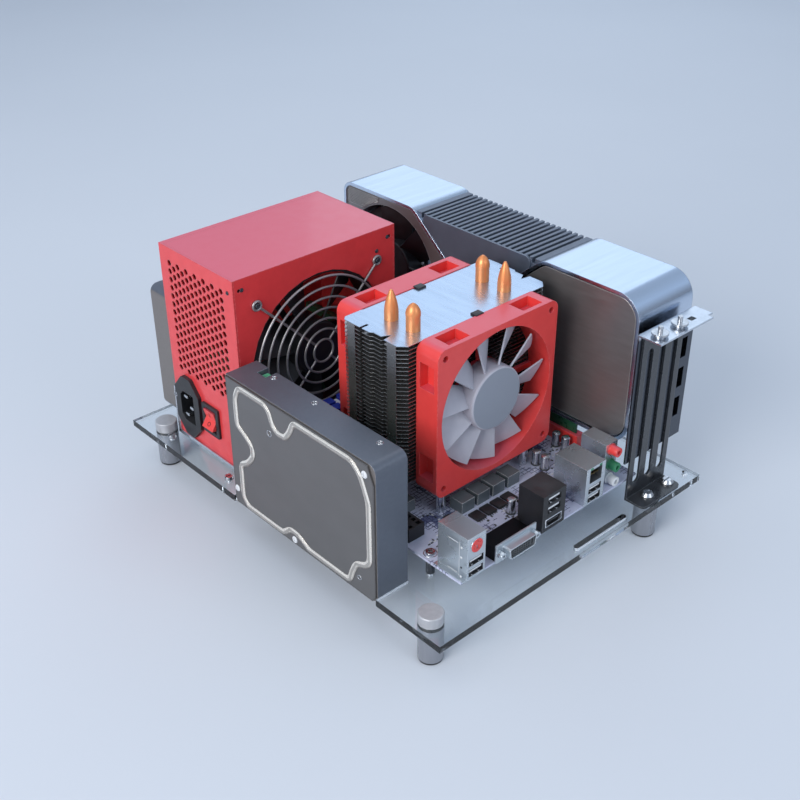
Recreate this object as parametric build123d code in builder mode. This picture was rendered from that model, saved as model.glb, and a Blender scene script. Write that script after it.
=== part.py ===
from build123d import *
import os
from math import pi, radians, sin

os.makedirs("parts", exist_ok=True)

# Open air test bench: a clear plate on four short legs that carries a power
# supply, two disk drives, a small mainboard with a tower cooler and a
# graphics card. Millimetres, +Z up, connector side towards -Y. The origin is
# the middle of the plate's outline at the level of the feet's undersides.

# Driving dimensions

plate_width = 256.0
plate_depth = 336.0
plate_thickness = 5.0
plate_top = 29.0
plate_bottom = plate_top - plate_thickness

leg_radius = 8.15
leg_stud_radius = 2.5
leg_stud_length = 9.0
foot_thickness = 1.6
cap_height = 7.2
leg_places = [(-116, -148), (79, -159), (-115, 141), (116, 141)]
cap_places = [(-116, -148), (-115, 141), (116, 141)]

board_size = 170.0
board_left = -91.5
board_front = -148.2
board_thickness = 1.6
board_top = 44.0
board_underside = board_top - board_thickness
board_hole_inset = 6.35
board_hole_front = 33.02
board_hole_pitch_x = 157.48
board_hole_pitch_y = 132.08
board_hole_radius = 1.7
standoff_radius = 3.0
standoff_bore = 1.5

supply_left = -109.0
supply_front = 45.0
supply_base = 32.0
supply_length = 140.0
supply_depth = 86.0
supply_height = 150.0
supply_wall = 1.2
supply_fan_radius = 59.0
supply_fan_center_x = supply_left + supply_length / 2
supply_fan_center_z = supply_base + supply_height / 2

drive_length = 147.0
drive_height = 101.6
drive_thickness = 26.1
drive_cover = 1.2
drive_rib = 0.9
drive_rib_width = 2.8
drive_rib_bend = 3.2
drive_cover_edge = 0.8

cooler_center_x = -6.5
fin_width = 131.0
fin_depth = 56.0
fin_thickness = 0.5
fin_count = 36
fin_pitch = 2.85
fin_back = -19.5
fin_front = fin_back - fin_depth
fin_top = 168.0
fan_size = 108.0
fan_depth = 19.0
fan_duct = 50.0
fan_hub = 22.5
fan_bottom = 60.5
fan_center_z = fan_bottom + fan_size / 2
blade_gap = 2.2
pocket_length = 18.0
pocket_end = 12.0
pocket_depth = 7.0
pocket_flange = 3.2
pipe_radius = 4.6
shaft_radius = 1.5
running_clearance = 0.05

card_left = 70.0
card_right = 127.0
card_near = -143.0
card_far = 147.0
card_base = 65.0
card_top = 176.5
card_band = 2.5
card_shoulder = 64.0
card_middle_z = (card_base + card_top) / 2
card_board_x = 73.0
card_board_thickness = 1.6

fit_gap = 0.1


def block(low, high, mode=Mode.ADD):
    """A box between two opposite corners."""
    center = [(a + b) / 2 for a, b in zip(low, high)]
    size = [abs(b - a) for a, b in zip(low, high)]
    with Locations(tuple(center)):
        Box(*size, mode=mode)


# Base plate: clear sheet with an edge notch for the standing drive

notch_near = -111.8
notch_far = 35.8
notch_depth = 27.2
board_hole_x = [board_left + board_hole_inset, board_left + board_hole_inset + board_hole_pitch_x]
board_hole_y = [board_front + board_hole_front, board_front + board_hole_front + board_hole_pitch_y]
board_holes = [(x, y) for x in board_hole_x for y in board_hole_y]
stud_places = [(-119, 128), (-119, 55)]
support_screw_near = (79, -159)
support_screw_far = (101.5, -159)
corner_hole = (123, -158.8)

with BuildPart() as base_plate:
    with BuildSketch(Plane.XY.offset(plate_bottom)):
        Rectangle(plate_width, plate_depth)
        with Locations((-plate_width / 2 + notch_depth / 2, (notch_near + notch_far) / 2)):
            Rectangle(notch_depth, notch_far - notch_near, mode=Mode.SUBTRACT)
        with Locations(*leg_places):
            Circle(leg_stud_radius + fit_gap, mode=Mode.SUBTRACT)
        with Locations(*board_holes):
            Circle(2.0, mode=Mode.SUBTRACT)
        with Locations(*stud_places, support_screw_far, corner_hole):
            Circle(1.8, mode=Mode.SUBTRACT)
        with Locations((26, -161.5)):
            SlotOverall(52, 4, mode=Mode.SUBTRACT)
    extrude(amount=plate_thickness)
base_plate.part.label = "base_plate"
export_step(base_plate.part, "parts/base_plate.step")

# Legs: turned columns with a stud that passes through the plate

with BuildPart() as legs:
    with Locations(*[(x, y, foot_thickness) for x, y in leg_places]):
        Cylinder(leg_radius, plate_bottom - foot_thickness, align=(Align.CENTER, Align.CENTER, Align.MIN))
    with Locations(*[(x, y, plate_bottom) for x, y in cap_places]):
        Cylinder(leg_stud_radius, leg_stud_length, align=(Align.CENTER, Align.CENTER, Align.MIN))
    with Locations((support_screw_near[0], support_screw_near[1], plate_bottom)):
        Hole(1.8, depth=12)
legs.part.label = "legs"
export_step(legs.part, "parts/legs.step")

with BuildPart() as leg_feet:
    with Locations(*[(x, y, 0) for x, y in leg_places]):
        Cylinder(leg_radius - 0.5, foot_thickness, align=(Align.CENTER, Align.CENTER, Align.MIN))
leg_feet.part.label = "leg_feet"
export_step(leg_feet.part, "parts/leg_feet.step")

with BuildPart() as leg_caps:
    with Locations(*[(x, y, plate_top) for x, y in cap_places]):
        Cylinder(leg_radius, cap_height, align=(Align.CENTER, Align.CENTER, Align.MIN))
    chamfer(leg_caps.faces().filter_by(Axis.Z).group_by(Axis.Z)[-1].edges(), length=0.5)
    with Locations(*[(x, y, plate_top) for x, y in cap_places]):
        Cylinder(
            leg_stud_radius + fit_gap, 5.0,
            align=(Align.CENTER, Align.CENTER, Align.MIN), mode=Mode.SUBTRACT,
        )
leg_caps.part.label = "leg_caps"
export_step(leg_caps.part, "parts/leg_caps.step")

# Stand-offs and screws that carry the mainboard

with BuildPart() as board_standoffs:
    with BuildSketch(Plane.XY.offset(plate_top)):
        with Locations(*board_holes):
            RegularPolygon(standoff_radius, 6)
    extrude(amount=board_underside - plate_top)
    with BuildSketch(Plane.XY.offset(plate_bottom + 0.5)):
        with Locations(*board_holes):
            Circle(1.9)
    extrude(amount=plate_thickness - 0.5)
    with BuildSketch(Plane.XY.offset(board_underside)):
        with Locations(*board_holes):
            Circle(standoff_bore)
    extrude(amount=-6, mode=Mode.SUBTRACT)
board_standoffs.part.label = "board_standoffs"
export_step(board_standoffs.part, "parts/board_standoffs.step")

with BuildPart() as board_screws:
    with BuildSketch(Plane.XY.offset(board_top)):
        with Locations(*board_holes):
            Circle(3.1)
    extrude(amount=1.7)
    with BuildSketch(Plane.XY.offset(board_top)):
        with Locations(*board_holes):
            Circle(standoff_bore - running_clearance)
    extrude(amount=-6)
    with BuildSketch(Plane.XY.offset(board_top + 1.7)):
        with Locations(*board_holes):
            Rectangle(4.2, 0.8)
            Rectangle(0.8, 4.2)
    extrude(amount=-1.0, mode=Mode.SUBTRACT)
board_screws.part.label = "board_screws"
export_step(board_screws.part, "parts/board_screws.step")

with BuildPart() as plate_screws:
    with BuildSketch(Plane.XY.offset(plate_top)):
        with Locations(*stud_places):
            Circle(3.4)
    extrude(amount=2.2, taper=18)
    with BuildSketch(Plane.XY.offset(plate_top)):
        with Locations(*stud_places):
            Circle(1.7)
    extrude(amount=-plate_thickness)
    with BuildSketch(Plane.XY.offset(plate_top + 2.2)):
        with Locations(*stud_places):
            Rectangle(8, 0.9)
    extrude(amount=-1.1, mode=Mode.SUBTRACT)
plate_screws.part.label = "plate_screws"
export_step(plate_screws.part, "parts/plate_screws.step")

# Card support: a black angle bracket with three long slots and a top flange

support_left = 65.0
support_right = 107.0
support_face = -152.0
support_sheet = 1.6
support_edge = -167.0
tab_underside = 156.8
tab_sheet = 1.2

with BuildPart() as card_support:
    block((support_left, support_edge, plate_top), (support_right, support_face, plate_top + support_sheet))
    block(
        (support_left, support_face, plate_top),
        (support_right, support_face + support_sheet, tab_underside),
    )
    block(
        (support_left, support_edge + 2, tab_underside - support_sheet),
        (support_right, support_face, tab_underside),
    )
    corners = card_support.edges().filter_by(Axis.Z).group_by(Axis.Y)[0]
    fillet(corners, radius=4)
    with Locations((support_screw_near[0], support_screw_near[1], plate_top + support_sheet)):
        Hole(1.8, depth=support_sheet)
    with Locations((support_screw_far[0], support_screw_far[1], plate_top + support_sheet)):
        Hole(1.8, depth=support_sheet)
    with BuildSketch(Plane.XZ.offset(-support_face)):
        with Locations(*[((support_left + support_right) / 2 + dx, 93) for dx in (-13, 0, 13)]):
            SlotOverall(104, 6.5, rotation=90)
    extrude(amount=-support_sheet, mode=Mode.SUBTRACT)
    with Locations((70, -159, tab_underside), (90.5, -159, tab_underside)):
        Hole(1.8, depth=support_sheet)
card_support.part.label = "card_support"
export_step(card_support.part, "parts/card_support.step")

support_screws = [support_screw_near, support_screw_far]

with BuildPart() as card_support_screws:
    with BuildSketch(Plane.XY.offset(plate_top + support_sheet)) as head:
        with Locations(*support_screws):
            Circle(4.6)
    extrude(amount=1.0)
    extrude(head.sketch.moved(Location((0, 0, 1.0))), amount=2.2, taper=35)
    with BuildSketch(Plane.XY.offset(plate_top + support_sheet)):
        with Locations(*support_screws):
            Circle(1.7)
    extrude(amount=-12)
    with BuildSketch(Plane.XY.offset(plate_top + support_sheet + 3.2)):
        with Locations(*support_screws):
            Rectangle(8, 1.1)
    extrude(amount=-1.2, mode=Mode.SUBTRACT)
card_support_screws.part.label = "card_support_screws"
export_step(card_support_screws.part, "parts/card_support_screws.step")

stud_tops = [(70, -159), (90.5, -159)]

with BuildPart() as card_studs:
    with BuildSketch(Plane.XY.offset(tab_underside + tab_sheet)):
        with Locations(*stud_tops):
            Circle(3.6)
    extrude(amount=1.6)
    with BuildSketch(Plane.XY.offset(tab_underside + tab_sheet + 1.6)):
        with Locations(*stud_tops):
            Circle(5.6)
    extrude(amount=1.2)
    with BuildSketch(Plane.XY.offset(tab_underside - 4)):
        with Locations(*stud_tops):
            Circle(1.6)
    extrude(amount=12)
card_studs.part.label = "card_studs"
export_step(card_studs.part, "parts/card_studs.step")

# Power supply: a folded chassis with a honeycomb face and a folded cover

supply_right = supply_left + supply_length
supply_back = supply_front + supply_depth
supply_top = supply_base + supply_height
cover_edge = supply_back - 4.6
comb_across = 4.2
comb_column = 5.08
comb_row = 3.15
comb_columns = 13
comb_rows = 27
comb_first_y = 119.7
comb_top_z = 170.3
inlet_y = 112.0
inlet_z = 59.0
switch_y = 85.0
switch_z = 59.5

with BuildPart() as psu_chassis:
    block((supply_left, supply_front, supply_base), (supply_left + supply_wall, supply_back, supply_top))
    block((supply_right - supply_wall, supply_front, supply_base), (supply_right, supply_back, supply_top))
    block((supply_left, supply_back - supply_wall, supply_base), (supply_right, supply_back, supply_top))
    block((supply_left, cover_edge, supply_top - supply_wall), (supply_right, supply_back, supply_top))
    block((supply_left, cover_edge, supply_base), (supply_right, supply_back, supply_base + supply_wall))
    comb_places = []
    for row in range(comb_rows):
        for column in range(row % 2, comb_columns, 2):
            comb_places.append((comb_first_y - column * comb_column, comb_top_z - row * comb_row))
    with BuildSketch(Plane.YZ.offset(supply_left)):
        with Locations(*comb_places):
            RegularPolygon(comb_across / 2, 6, major_radius=False)
        with Locations((inlet_y, inlet_z)):
            Rectangle(22, 28)
        with Locations((switch_y, switch_z)):
            Rectangle(17, 21)
    extrude(amount=supply_wall, mode=Mode.SUBTRACT)
    with BuildSketch(Plane.YZ.offset(supply_right)):
        with Locations((70, 60)):
            SlotOverall(26, 14)
    extrude(amount=-supply_wall, mode=Mode.SUBTRACT)
psu_chassis.part.label = "psu_chassis"
export_step(psu_chassis.part, "parts/psu_chassis.step")

guard_hook_pitch = 105.0
inner_left = supply_left + supply_wall
inner_right = supply_right - supply_wall

with BuildPart() as psu_cover:
    block((inner_left, supply_front, supply_base), (inner_right, supply_front + supply_wall, supply_top))
    block((inner_left, supply_front, supply_top - supply_wall), (inner_right, cover_edge, supply_top))
    block((inner_left, supply_front, supply_base), (inner_right, cover_edge, supply_base + supply_wall))
    with BuildSketch(Plane.XZ.offset(-supply_front)):
        with Locations((supply_fan_center_x, supply_fan_center_z)):
            RegularPolygon(supply_fan_radius, 28)
            with GridLocations(guard_hook_pitch, guard_hook_pitch, 2, 2):
                Circle(1.8)
            with GridLocations(130, 134, 2, 2):
                RegularPolygon(1.4, 6)
    extrude(amount=-supply_wall, mode=Mode.SUBTRACT)
psu_cover.part.label = "psu_cover"
export_step(psu_cover.part, "parts/psu_cover.step")

# Fans: a square housing with a duct and a spider, and a bladed rotor


def fan_housing(size, depth, duct, hub, struts):
    """Axis along +Z, spider and motor base at z = 0, open mouth at z = depth."""
    with BuildPart() as housing:
        with BuildSketch():
            RectangleRounded(size, size, 7)
            Circle(duct, mode=Mode.SUBTRACT)
        extrude(amount=depth)
        with BuildSketch():
            with GridLocations(size - 13, size - 13, 2, 2):
                RegularPolygon(2.3, 8)
        extrude(amount=depth, mode=Mode.SUBTRACT)
        with Locations((0, 0, depth / 2)):
            with PolarLocations(size / 2, 4):
                with GridLocations(8, size - pocket_length - 2 * pocket_end, 1, 2):
                    Box(2 * pocket_depth, pocket_length, depth - 2 * pocket_flange, mode=Mode.SUBTRACT)
        with BuildSketch():
            Circle(hub)
            with PolarLocations(0, struts):
                with Locations(((duct + 1) / 2, 0)):
                    Rectangle(duct + 1, 4)
        extrude(amount=2.4)
        Cylinder(shaft_radius, depth - 6, align=(Align.CENTER, Align.CENTER, Align.MIN))
    return housing.part


def fan_rotor(depth, duct, hub, blades, root_pitch, tip_pitch):
    """Hub cup with twisted blades, on the housing's shaft."""
    root = hub - 2.0
    tip = duct - blade_gap
    mid_z = depth / 2 + 0.6
    root_spacing = 2 * pi * hub / blades
    tip_chord = min(1.68 * pi * duct / blades, (depth - 6) / sin(radians(tip_pitch)))
    with BuildPart() as blade:
        with BuildSketch(Plane(origin=(root, 0, mid_z), x_dir=(0, 1, 0), z_dir=(1, 0, 0))):
            Rectangle(root_spacing * 1.15, 1.4, rotation=root_pitch)
        with BuildSketch(Plane(origin=(tip + 1.5, 0, mid_z), x_dir=(0, 1, 0), z_dir=(1, 0, 0))):
            Rectangle(tip_chord, 1.0, rotation=tip_pitch)
        loft(ruled=True)
        Cylinder(tip, 4 * depth, mode=Mode.INTERSECT)
    with BuildPart() as rotor:
        with BuildSketch(Plane.XY.offset(2.7)):
            Circle(hub)
        extrude(amount=depth - 3.4)
        fillet(rotor.edges().group_by(Axis.Z)[-1], radius=1.6)
        with BuildSketch(Plane.XY.offset(2.7)):
            Circle(shaft_radius + running_clearance)
        extrude(amount=depth - 8.2, mode=Mode.SUBTRACT)
        with PolarLocations(0, blades):
            add(blade.part)
    return rotor.part


front_fan_place = Location((cooler_center_x, fin_front, fan_center_z), (90, 0, 0))
rear_fan_place = Location((cooler_center_x, fin_back + fan_depth, fan_center_z), (90, 0, 0))
supply_fan_depth = 25.0
supply_fan_back = supply_front + supply_wall + supply_fan_depth
supply_fan_place = Location((supply_fan_center_x, supply_fan_back, supply_fan_center_z), (90, 0, 0))

cooler_housing = fan_housing(fan_size, fan_depth, fan_duct, fan_hub, 4)
cooler_rotor = fan_rotor(fan_depth, fan_duct, fan_hub, 11, 42, 25)

with BuildPart() as front_fan_frame:
    with Locations(front_fan_place):
        add(cooler_housing)
front_fan_frame.part.label = "front_fan_frame"
export_step(front_fan_frame.part, "parts/front_fan_frame.step")

with BuildPart() as front_fan_rotor:
    with Locations(front_fan_place):
        add(cooler_rotor)
front_fan_rotor.part.label = "front_fan_rotor"
export_step(front_fan_rotor.part, "parts/front_fan_rotor.step")

with BuildPart() as rear_fan_frame:
    with Locations(rear_fan_place):
        add(cooler_housing)
rear_fan_frame.part.label = "rear_fan_frame"
export_step(rear_fan_frame.part, "parts/rear_fan_frame.step")

with BuildPart() as rear_fan_rotor:
    with Locations(rear_fan_place):
        add(cooler_rotor)
rear_fan_rotor.part.label = "rear_fan_rotor"
export_step(rear_fan_rotor.part, "parts/rear_fan_rotor.step")

with BuildPart() as psu_fan_frame:
    with Locations(supply_fan_place):
        add(fan_housing(119.0, supply_fan_depth, 57.0, 20.0, 3))
psu_fan_frame.part.label = "psu_fan_frame"
export_step(psu_fan_frame.part, "parts/psu_fan_frame.step")

with BuildPart() as psu_fan_rotor:
    with Locations(supply_fan_place):
        add(fan_rotor(supply_fan_depth, 57.0, 20.0, 7, 50, 30))
psu_fan_rotor.part.label = "psu_fan_rotor"
export_step(psu_fan_rotor.part, "parts/psu_fan_rotor.step")

# Wire guard over the supply's fan

guard_rings = 7
guard_inner = 8.6
guard_pitch = 7.9
guard_wire = 1.4
guard_face = supply_front - 3.2

with BuildPart() as psu_fan_guard:
    for ring in range(guard_rings):
        radius = guard_inner + ring * guard_pitch
        with BuildSketch(Plane.XZ.offset(-guard_face)):
            with Locations((supply_fan_center_x, supply_fan_center_z)):
                RegularPolygon(radius + guard_wire / 2, 20 + 2 * ring)
                RegularPolygon(radius - guard_wire / 2, 20 + 2 * ring, mode=Mode.SUBTRACT)
        extrude(amount=-guard_wire)
    with BuildSketch(Plane.XZ.offset(-guard_face - guard_wire)):
        with Locations((supply_fan_center_x, supply_fan_center_z)):
            with PolarLocations((guard_inner + 71) / 2, 4, start_angle=45):
                Rectangle(71 - guard_inner, guard_wire + 0.2)
            with GridLocations(guard_hook_pitch, guard_hook_pitch, 2, 2):
                Circle(4.3)
    extrude(amount=-(supply_front - guard_face - guard_wire))
    with BuildSketch(Plane.XZ.offset(-guard_face - guard_wire)):
        with Locations((supply_fan_center_x, supply_fan_center_z)):
            with GridLocations(guard_hook_pitch, guard_hook_pitch, 2, 2):
                Circle(2.4)
    extrude(amount=-(supply_front - guard_face), mode=Mode.SUBTRACT)
psu_fan_guard.part.label = "psu_fan_guard"
export_step(psu_fan_guard.part, "parts/psu_fan_guard.step")

# Mains inlet and rocker switch on the honeycomb face

inlet_flange = 3.0

with BuildPart() as psu_inlet:
    with BuildSketch(Plane.YZ.offset(supply_left)):
        with BuildLine():
            Polyline(
                (inlet_y - 5, inlet_z + 24.5), (inlet_y + 5, inlet_z + 24.5),
                (inlet_y + 15, inlet_z + 13), (inlet_y + 15, inlet_z - 13),
                (inlet_y + 5, inlet_z - 24.5), (inlet_y - 5, inlet_z - 24.5),
                (inlet_y - 15, inlet_z - 13), (inlet_y - 15, inlet_z + 13), close=True,
            )
        make_face()
        fillet(vertices(), radius=2.5)
    extrude(amount=-inlet_flange)
    with BuildSketch(Plane.YZ.offset(supply_left)):
        with Locations((inlet_y, inlet_z)):
            Rectangle(21.6, 27.6)
    extrude(amount=18)
    with BuildSketch(Plane.YZ.offset(supply_left - inlet_flange)):
        with Locations((inlet_y, inlet_z)):
            Rectangle(16.6, 24.2)
            chamfer(vertices().group_by(Axis.X)[-1], length=4)
    extrude(amount=17, mode=Mode.SUBTRACT)
    with BuildSketch(Plane.YZ.offset(supply_left + 14)):
        with Locations((inlet_y + 3, inlet_z + 7.5), (inlet_y - 3.5, inlet_z), (inlet_y + 3, inlet_z - 7.5)):
            Rectangle(4.0, 2.0)
    extrude(amount=-12)
psu_inlet.part.label = "psu_inlet"
export_step(psu_inlet.part, "parts/psu_inlet.step")

rocker_pivot_x = supply_left + 5.0
rocker_tilt = 9.0

with BuildPart() as psu_switch_frame:
    with BuildSketch(Plane.YZ.offset(supply_left)):
        with Locations((switch_y, switch_z)):
            RectangleRounded(20, 24, 1.5)
            Rectangle(13, 18, mode=Mode.SUBTRACT)
    extrude(amount=-1.8)
    with BuildSketch(Plane.YZ.offset(supply_left)):
        with Locations((switch_y, switch_z)):
            Rectangle(16.6, 20.6)
            Rectangle(13, 18, mode=Mode.SUBTRACT)
    extrude(amount=14)
    with BuildSketch(Plane.YZ.offset(supply_left + 14)):
        with Locations((switch_y, switch_z)):
            Rectangle(16.6, 20.6)
    extrude(amount=1.5)
    with Locations(Location((rocker_pivot_x, switch_y, switch_z), (90, 0, 0))):
        Cylinder(1.2, 13.4)
psu_switch_frame.part.label = "psu_switch_frame"
export_step(psu_switch_frame.part, "parts/psu_switch_frame.step")

with BuildPart() as psu_switch_rocker:
    with BuildSketch(Plane.XZ.offset(-switch_y)):
        with BuildLine():
            Polyline(
                (supply_left - 4.2, switch_z + 7.0), (supply_left - 1.2, switch_z),
                (supply_left - 4.2, switch_z - 7.0), (supply_left + 4.0, switch_z - 7.0),
                (supply_left + 8.5, switch_z - 3.0), (supply_left + 8.5, switch_z + 3.0),
                (supply_left + 4.0, switch_z + 7.0), close=True,
            )
        make_face()
        with Locations((rocker_pivot_x, switch_z)):
            Circle(1.2 + running_clearance, mode=Mode.SUBTRACT)
    extrude(amount=6.2, both=True)
rocker_axis = Axis((rocker_pivot_x, switch_y, switch_z), (0, 1, 0))
psu_switch_rocker.part = psu_switch_rocker.part.rotate(rocker_axis, rocker_tilt)
psu_switch_rocker.part.label = "psu_switch_rocker"
export_step(psu_switch_rocker.part, "parts/psu_switch_rocker.step")

# Polished bracket under the supply, with a tab beside the inlet

with BuildPart() as psu_bracket:
    block((supply_left - 1.5, supply_front, plate_top), (supply_right, supply_back, supply_base))
    block((supply_left - 1.5, inlet_y + 15.5, plate_top), (supply_left, supply_back, supply_base + 37))
psu_bracket.part.label = "psu_bracket"
export_step(psu_bracket.part, "parts/psu_bracket.step")

# Converter board inside the supply, seen through the honeycomb and the guard

with BuildPart() as psu_board:
    block((supply_left + 20, 84, 36.2), (supply_right - 4, 128, 37.8))
    with Locations((-85, 100, 37.8), (10, 104, 37.8)):
        Box(5, 36, 62, align=(Align.CENTER, Align.CENTER, Align.MIN))
    with Locations((-50, 108, 37.8), (-20, 108, 37.8)):
        Box(22, 26, 24, align=(Align.CENTER, Align.CENTER, Align.MIN))
    block((-60, 120, supply_base + supply_wall), (-20, 126, 36.2))
psu_board.part.label = "psu_board"
export_step(psu_board.part, "parts/psu_board.step")

# Disk drives: a cast body, a pressed cover with a raised rib, a circuit board

drive_a_place = Location((-plate_width / 2 + drive_rib, -111.5, plate_bottom))
drive_b_place = Location((-102, 165 - drive_rib, 35), (0, 0, -90))
drive_rib_path = [
    (132, 97.5), (105, 97.5), (100, 94), (97, 85), (92, 81.5), (84, 82), (79, 89), (75, 97.5), (20, 97.5),
    (12, 90), (5.5, 74), (5.5, 30), (9, 25.5), (18, 22), (22, 14), (25, 4.5), (66, 4.5), (76, 10.5), (85, 10.5),
    (92, 3.6), (132, 3.6), (137, 10), (136.5, 36), (128, 41), (121.5, 49), (121.5, 57), (129, 62.5), (137, 67),
    (137, 88),
]


def drive_body():
    """Cover side at x = 0, length along y, standing on its long edge."""
    with BuildPart() as body:
        with BuildSketch(Plane.YZ.offset(drive_cover)):
            with Locations((drive_length / 2, drive_height / 2)):
                Rectangle(drive_length, drive_height)
            fillet(vertices().group_by(Axis.X)[0], radius=6)
        extrude(amount=drive_thickness - drive_cover)
        block((21.5, 6, 28), (drive_thickness, drive_length, drive_height - 8), mode=Mode.SUBTRACT)
        block((17, 125, drive_height - 9), (drive_thickness, 134, drive_height), mode=Mode.SUBTRACT)
        with BuildSketch(Plane.XY.offset(drive_height)):
            with Locations(*[(20.5, y) for y in (18, 79, 121)]):
                Circle(1.7)
        extrude(amount=-4, mode=Mode.SUBTRACT)
    return body.part


def drive_lid():
    with BuildPart() as lid:
        with BuildSketch(Plane.YZ):
            with BuildLine():
                Polyline(
                    (drive_cover_edge + 3, drive_cover_edge),
                    (drive_length - drive_cover_edge, drive_cover_edge),
                    (drive_length - drive_cover_edge, drive_height - drive_cover_edge),
                    (6, drive_height - drive_cover_edge), (drive_cover_edge, drive_height - 13),
                    (drive_cover_edge, drive_cover_edge + 4), close=True,
                )
            make_face()
        extrude(amount=drive_cover)
        with BuildSketch(Plane.YZ):
            with BuildLine():
                Polyline(*drive_rib_path, close=True)
            make_face()
            fillet(vertices(), radius=drive_rib_bend)
            offset(amount=drive_rib_width / 2, mode=Mode.REPLACE)
            offset(amount=-drive_rib_width, mode=Mode.SUBTRACT)
        extrude(amount=-drive_rib)
        chamfer(lid.edges().group_by(Axis.X)[0], length=drive_rib - 0.25)
    return lid.part


def drive_circuit():
    with BuildPart() as circuit:
        block((21.5, 7, 29), (23.1, drive_length - 1, drive_height - 9))
        block((23.1, 60, 45), (24.7, 80, 65))
        block((23.1, drive_length - 16, 60), (26.0, drive_length - 1, 92))
    return circuit.part


drive_body_shape = drive_body()
drive_lid_shape = drive_lid()
drive_circuit_shape = drive_circuit()

with BuildPart() as drive_a_body:
    with Locations(drive_a_place):
        add(drive_body_shape)
drive_a_body.part.label = "drive_a_body"
export_step(drive_a_body.part, "parts/drive_a_body.step")

with BuildPart() as drive_a_cover:
    with Locations(drive_a_place):
        add(drive_lid_shape)
drive_a_cover.part.label = "drive_a_cover"
export_step(drive_a_cover.part, "parts/drive_a_cover.step")

with BuildPart() as drive_a_board:
    with Locations(drive_a_place):
        add(drive_circuit_shape)
drive_a_board.part.label = "drive_a_board"
export_step(drive_a_board.part, "parts/drive_a_board.step")

with BuildPart() as drive_b_body:
    with Locations(drive_b_place):
        add(drive_body_shape)
drive_b_body.part.label = "drive_b_body"
export_step(drive_b_body.part, "parts/drive_b_body.step")

with BuildPart() as drive_b_cover:
    with Locations(drive_b_place):
        add(drive_lid_shape)
drive_b_cover.part.label = "drive_b_cover"
export_step(drive_b_cover.part, "parts/drive_b_cover.step")

with BuildPart() as drive_b_board:
    with Locations(drive_b_place):
        add(drive_circuit_shape)
drive_b_board.part.label = "drive_b_board"
export_step(drive_b_board.part, "parts/drive_b_board.step")

# Angle brackets that hold the drives on the plate

drive_a_inner = -plate_width / 2 + drive_rib + drive_thickness
drive_b_inner = 165 - drive_rib - drive_thickness

with BuildPart() as drive_brackets:
    block((drive_a_inner, -96, plate_top), (drive_a_inner + 1.6, 20, plate_top + 18))
    block((drive_a_inner, -96, plate_top), (drive_a_inner + 6, 20, plate_top + 1.6))
    block((-90, drive_b_inner - 1.6, plate_top), (30, drive_b_inner, plate_top + 24))
    block((-90, drive_b_inner - 1.6, plate_top), (30, drive_b_inner + 12, plate_top + 1.6))
drive_brackets.part.label = "drive_brackets"
export_step(drive_brackets.part, "parts/drive_brackets.step")

# Mainboard with its connectors

board_right = board_left + board_size
board_back = board_front + board_size

with BuildPart() as main_board:
    with BuildSketch(Plane.XY.offset(board_underside)):
        with Locations(((board_left + board_right) / 2, (board_front + board_back) / 2)):
            Rectangle(board_size, board_size)
        with Locations(*board_holes):
            Circle(board_hole_radius, mode=Mode.SUBTRACT)
    extrude(amount=board_thickness)
main_board.part.label = "main_board"
export_step(main_board.part, "parts/main_board.step")

usb_width = 12.5
usb_height = 5.4
usb_tongue = 2.0


def usb_port(x, y, z):
    """A stacked-socket mouth with its tongue, cut into the face at y."""
    block((x - usb_width / 2, y, z), (x + usb_width / 2, y + 9, z + usb_height), mode=Mode.SUBTRACT)
    block((x - 5.2, y + 0.8, z + 2.9), (x + 5.2, y + 9, z + 2.9 + usb_tongue))


port_face = board_front - 1.2

with BuildPart() as keyboard_usb_block:
    block((-87.5, port_face, board_top), (-72.0, -124.0, 75.0))
    block((board_left + 0.5, port_face, board_top), (-87.5, -124.0, board_top + 0.8))
    with BuildSketch(Plane.XZ.offset(-port_face)):
        with Locations((-79.8, 67.6)):
            Circle(4.9)
    extrude(amount=-9, mode=Mode.SUBTRACT)
    with BuildSketch(Plane.XZ.offset(-port_face)):
        with Locations((-79.8, 67.6)):
            Circle(4.2)
    extrude(amount=-9)
    usb_port(-79.8, port_face, 45.6)
    usb_port(-79.8, port_face, 53.4)
keyboard_usb_block.part.label = "keyboard_usb_block"
export_step(keyboard_usb_block.part, "parts/keyboard_usb_block.step")

with BuildPart() as video_socket:
    block((-64.0, -151.2, 45.0), (-28.0, -150.0, 58.5))
    block((-62.0, -150.0, board_top), (-30.0, -134.0, 54.0))
    with BuildSketch(Plane.XZ.offset(151.2)):
        with Locations((-46.0, 52.0)):
            Trapezoid(25, 8.2, 80, rotation=180)
            fillet(vertices(), radius=1.5)
            offset(amount=-0.7, mode=Mode.SUBTRACT)
    extrude(amount=6.0)
    block((-56.0, -155.0, 50.6), (-36.0, -151.2, 53.2))
video_socket.part.label = "video_socket"
export_step(video_socket.part, "parts/video_socket.step")

with BuildPart() as hdmi_usb_block:
    block((-20.0, port_face, board_top), (1.6, -128.5, 72.0))
    usb_port(-9.2, port_face, 64.4)
    usb_port(-9.2, port_face, 57.0)
    with BuildSketch(Plane.XZ.offset(-port_face)):
        with Locations((-9.2, 50.2)):
            Trapezoid(15, 5.2, 62, rotation=180)
    extrude(amount=-9, mode=Mode.SUBTRACT)
    block((-14.5, port_face + 0.6, 49.6), (-3.9, port_face + 9, 51.2))
hdmi_usb_block.part.label = "hdmi_usb_block"
export_step(hdmi_usb_block.part, "parts/hdmi_usb_block.step")

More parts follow.
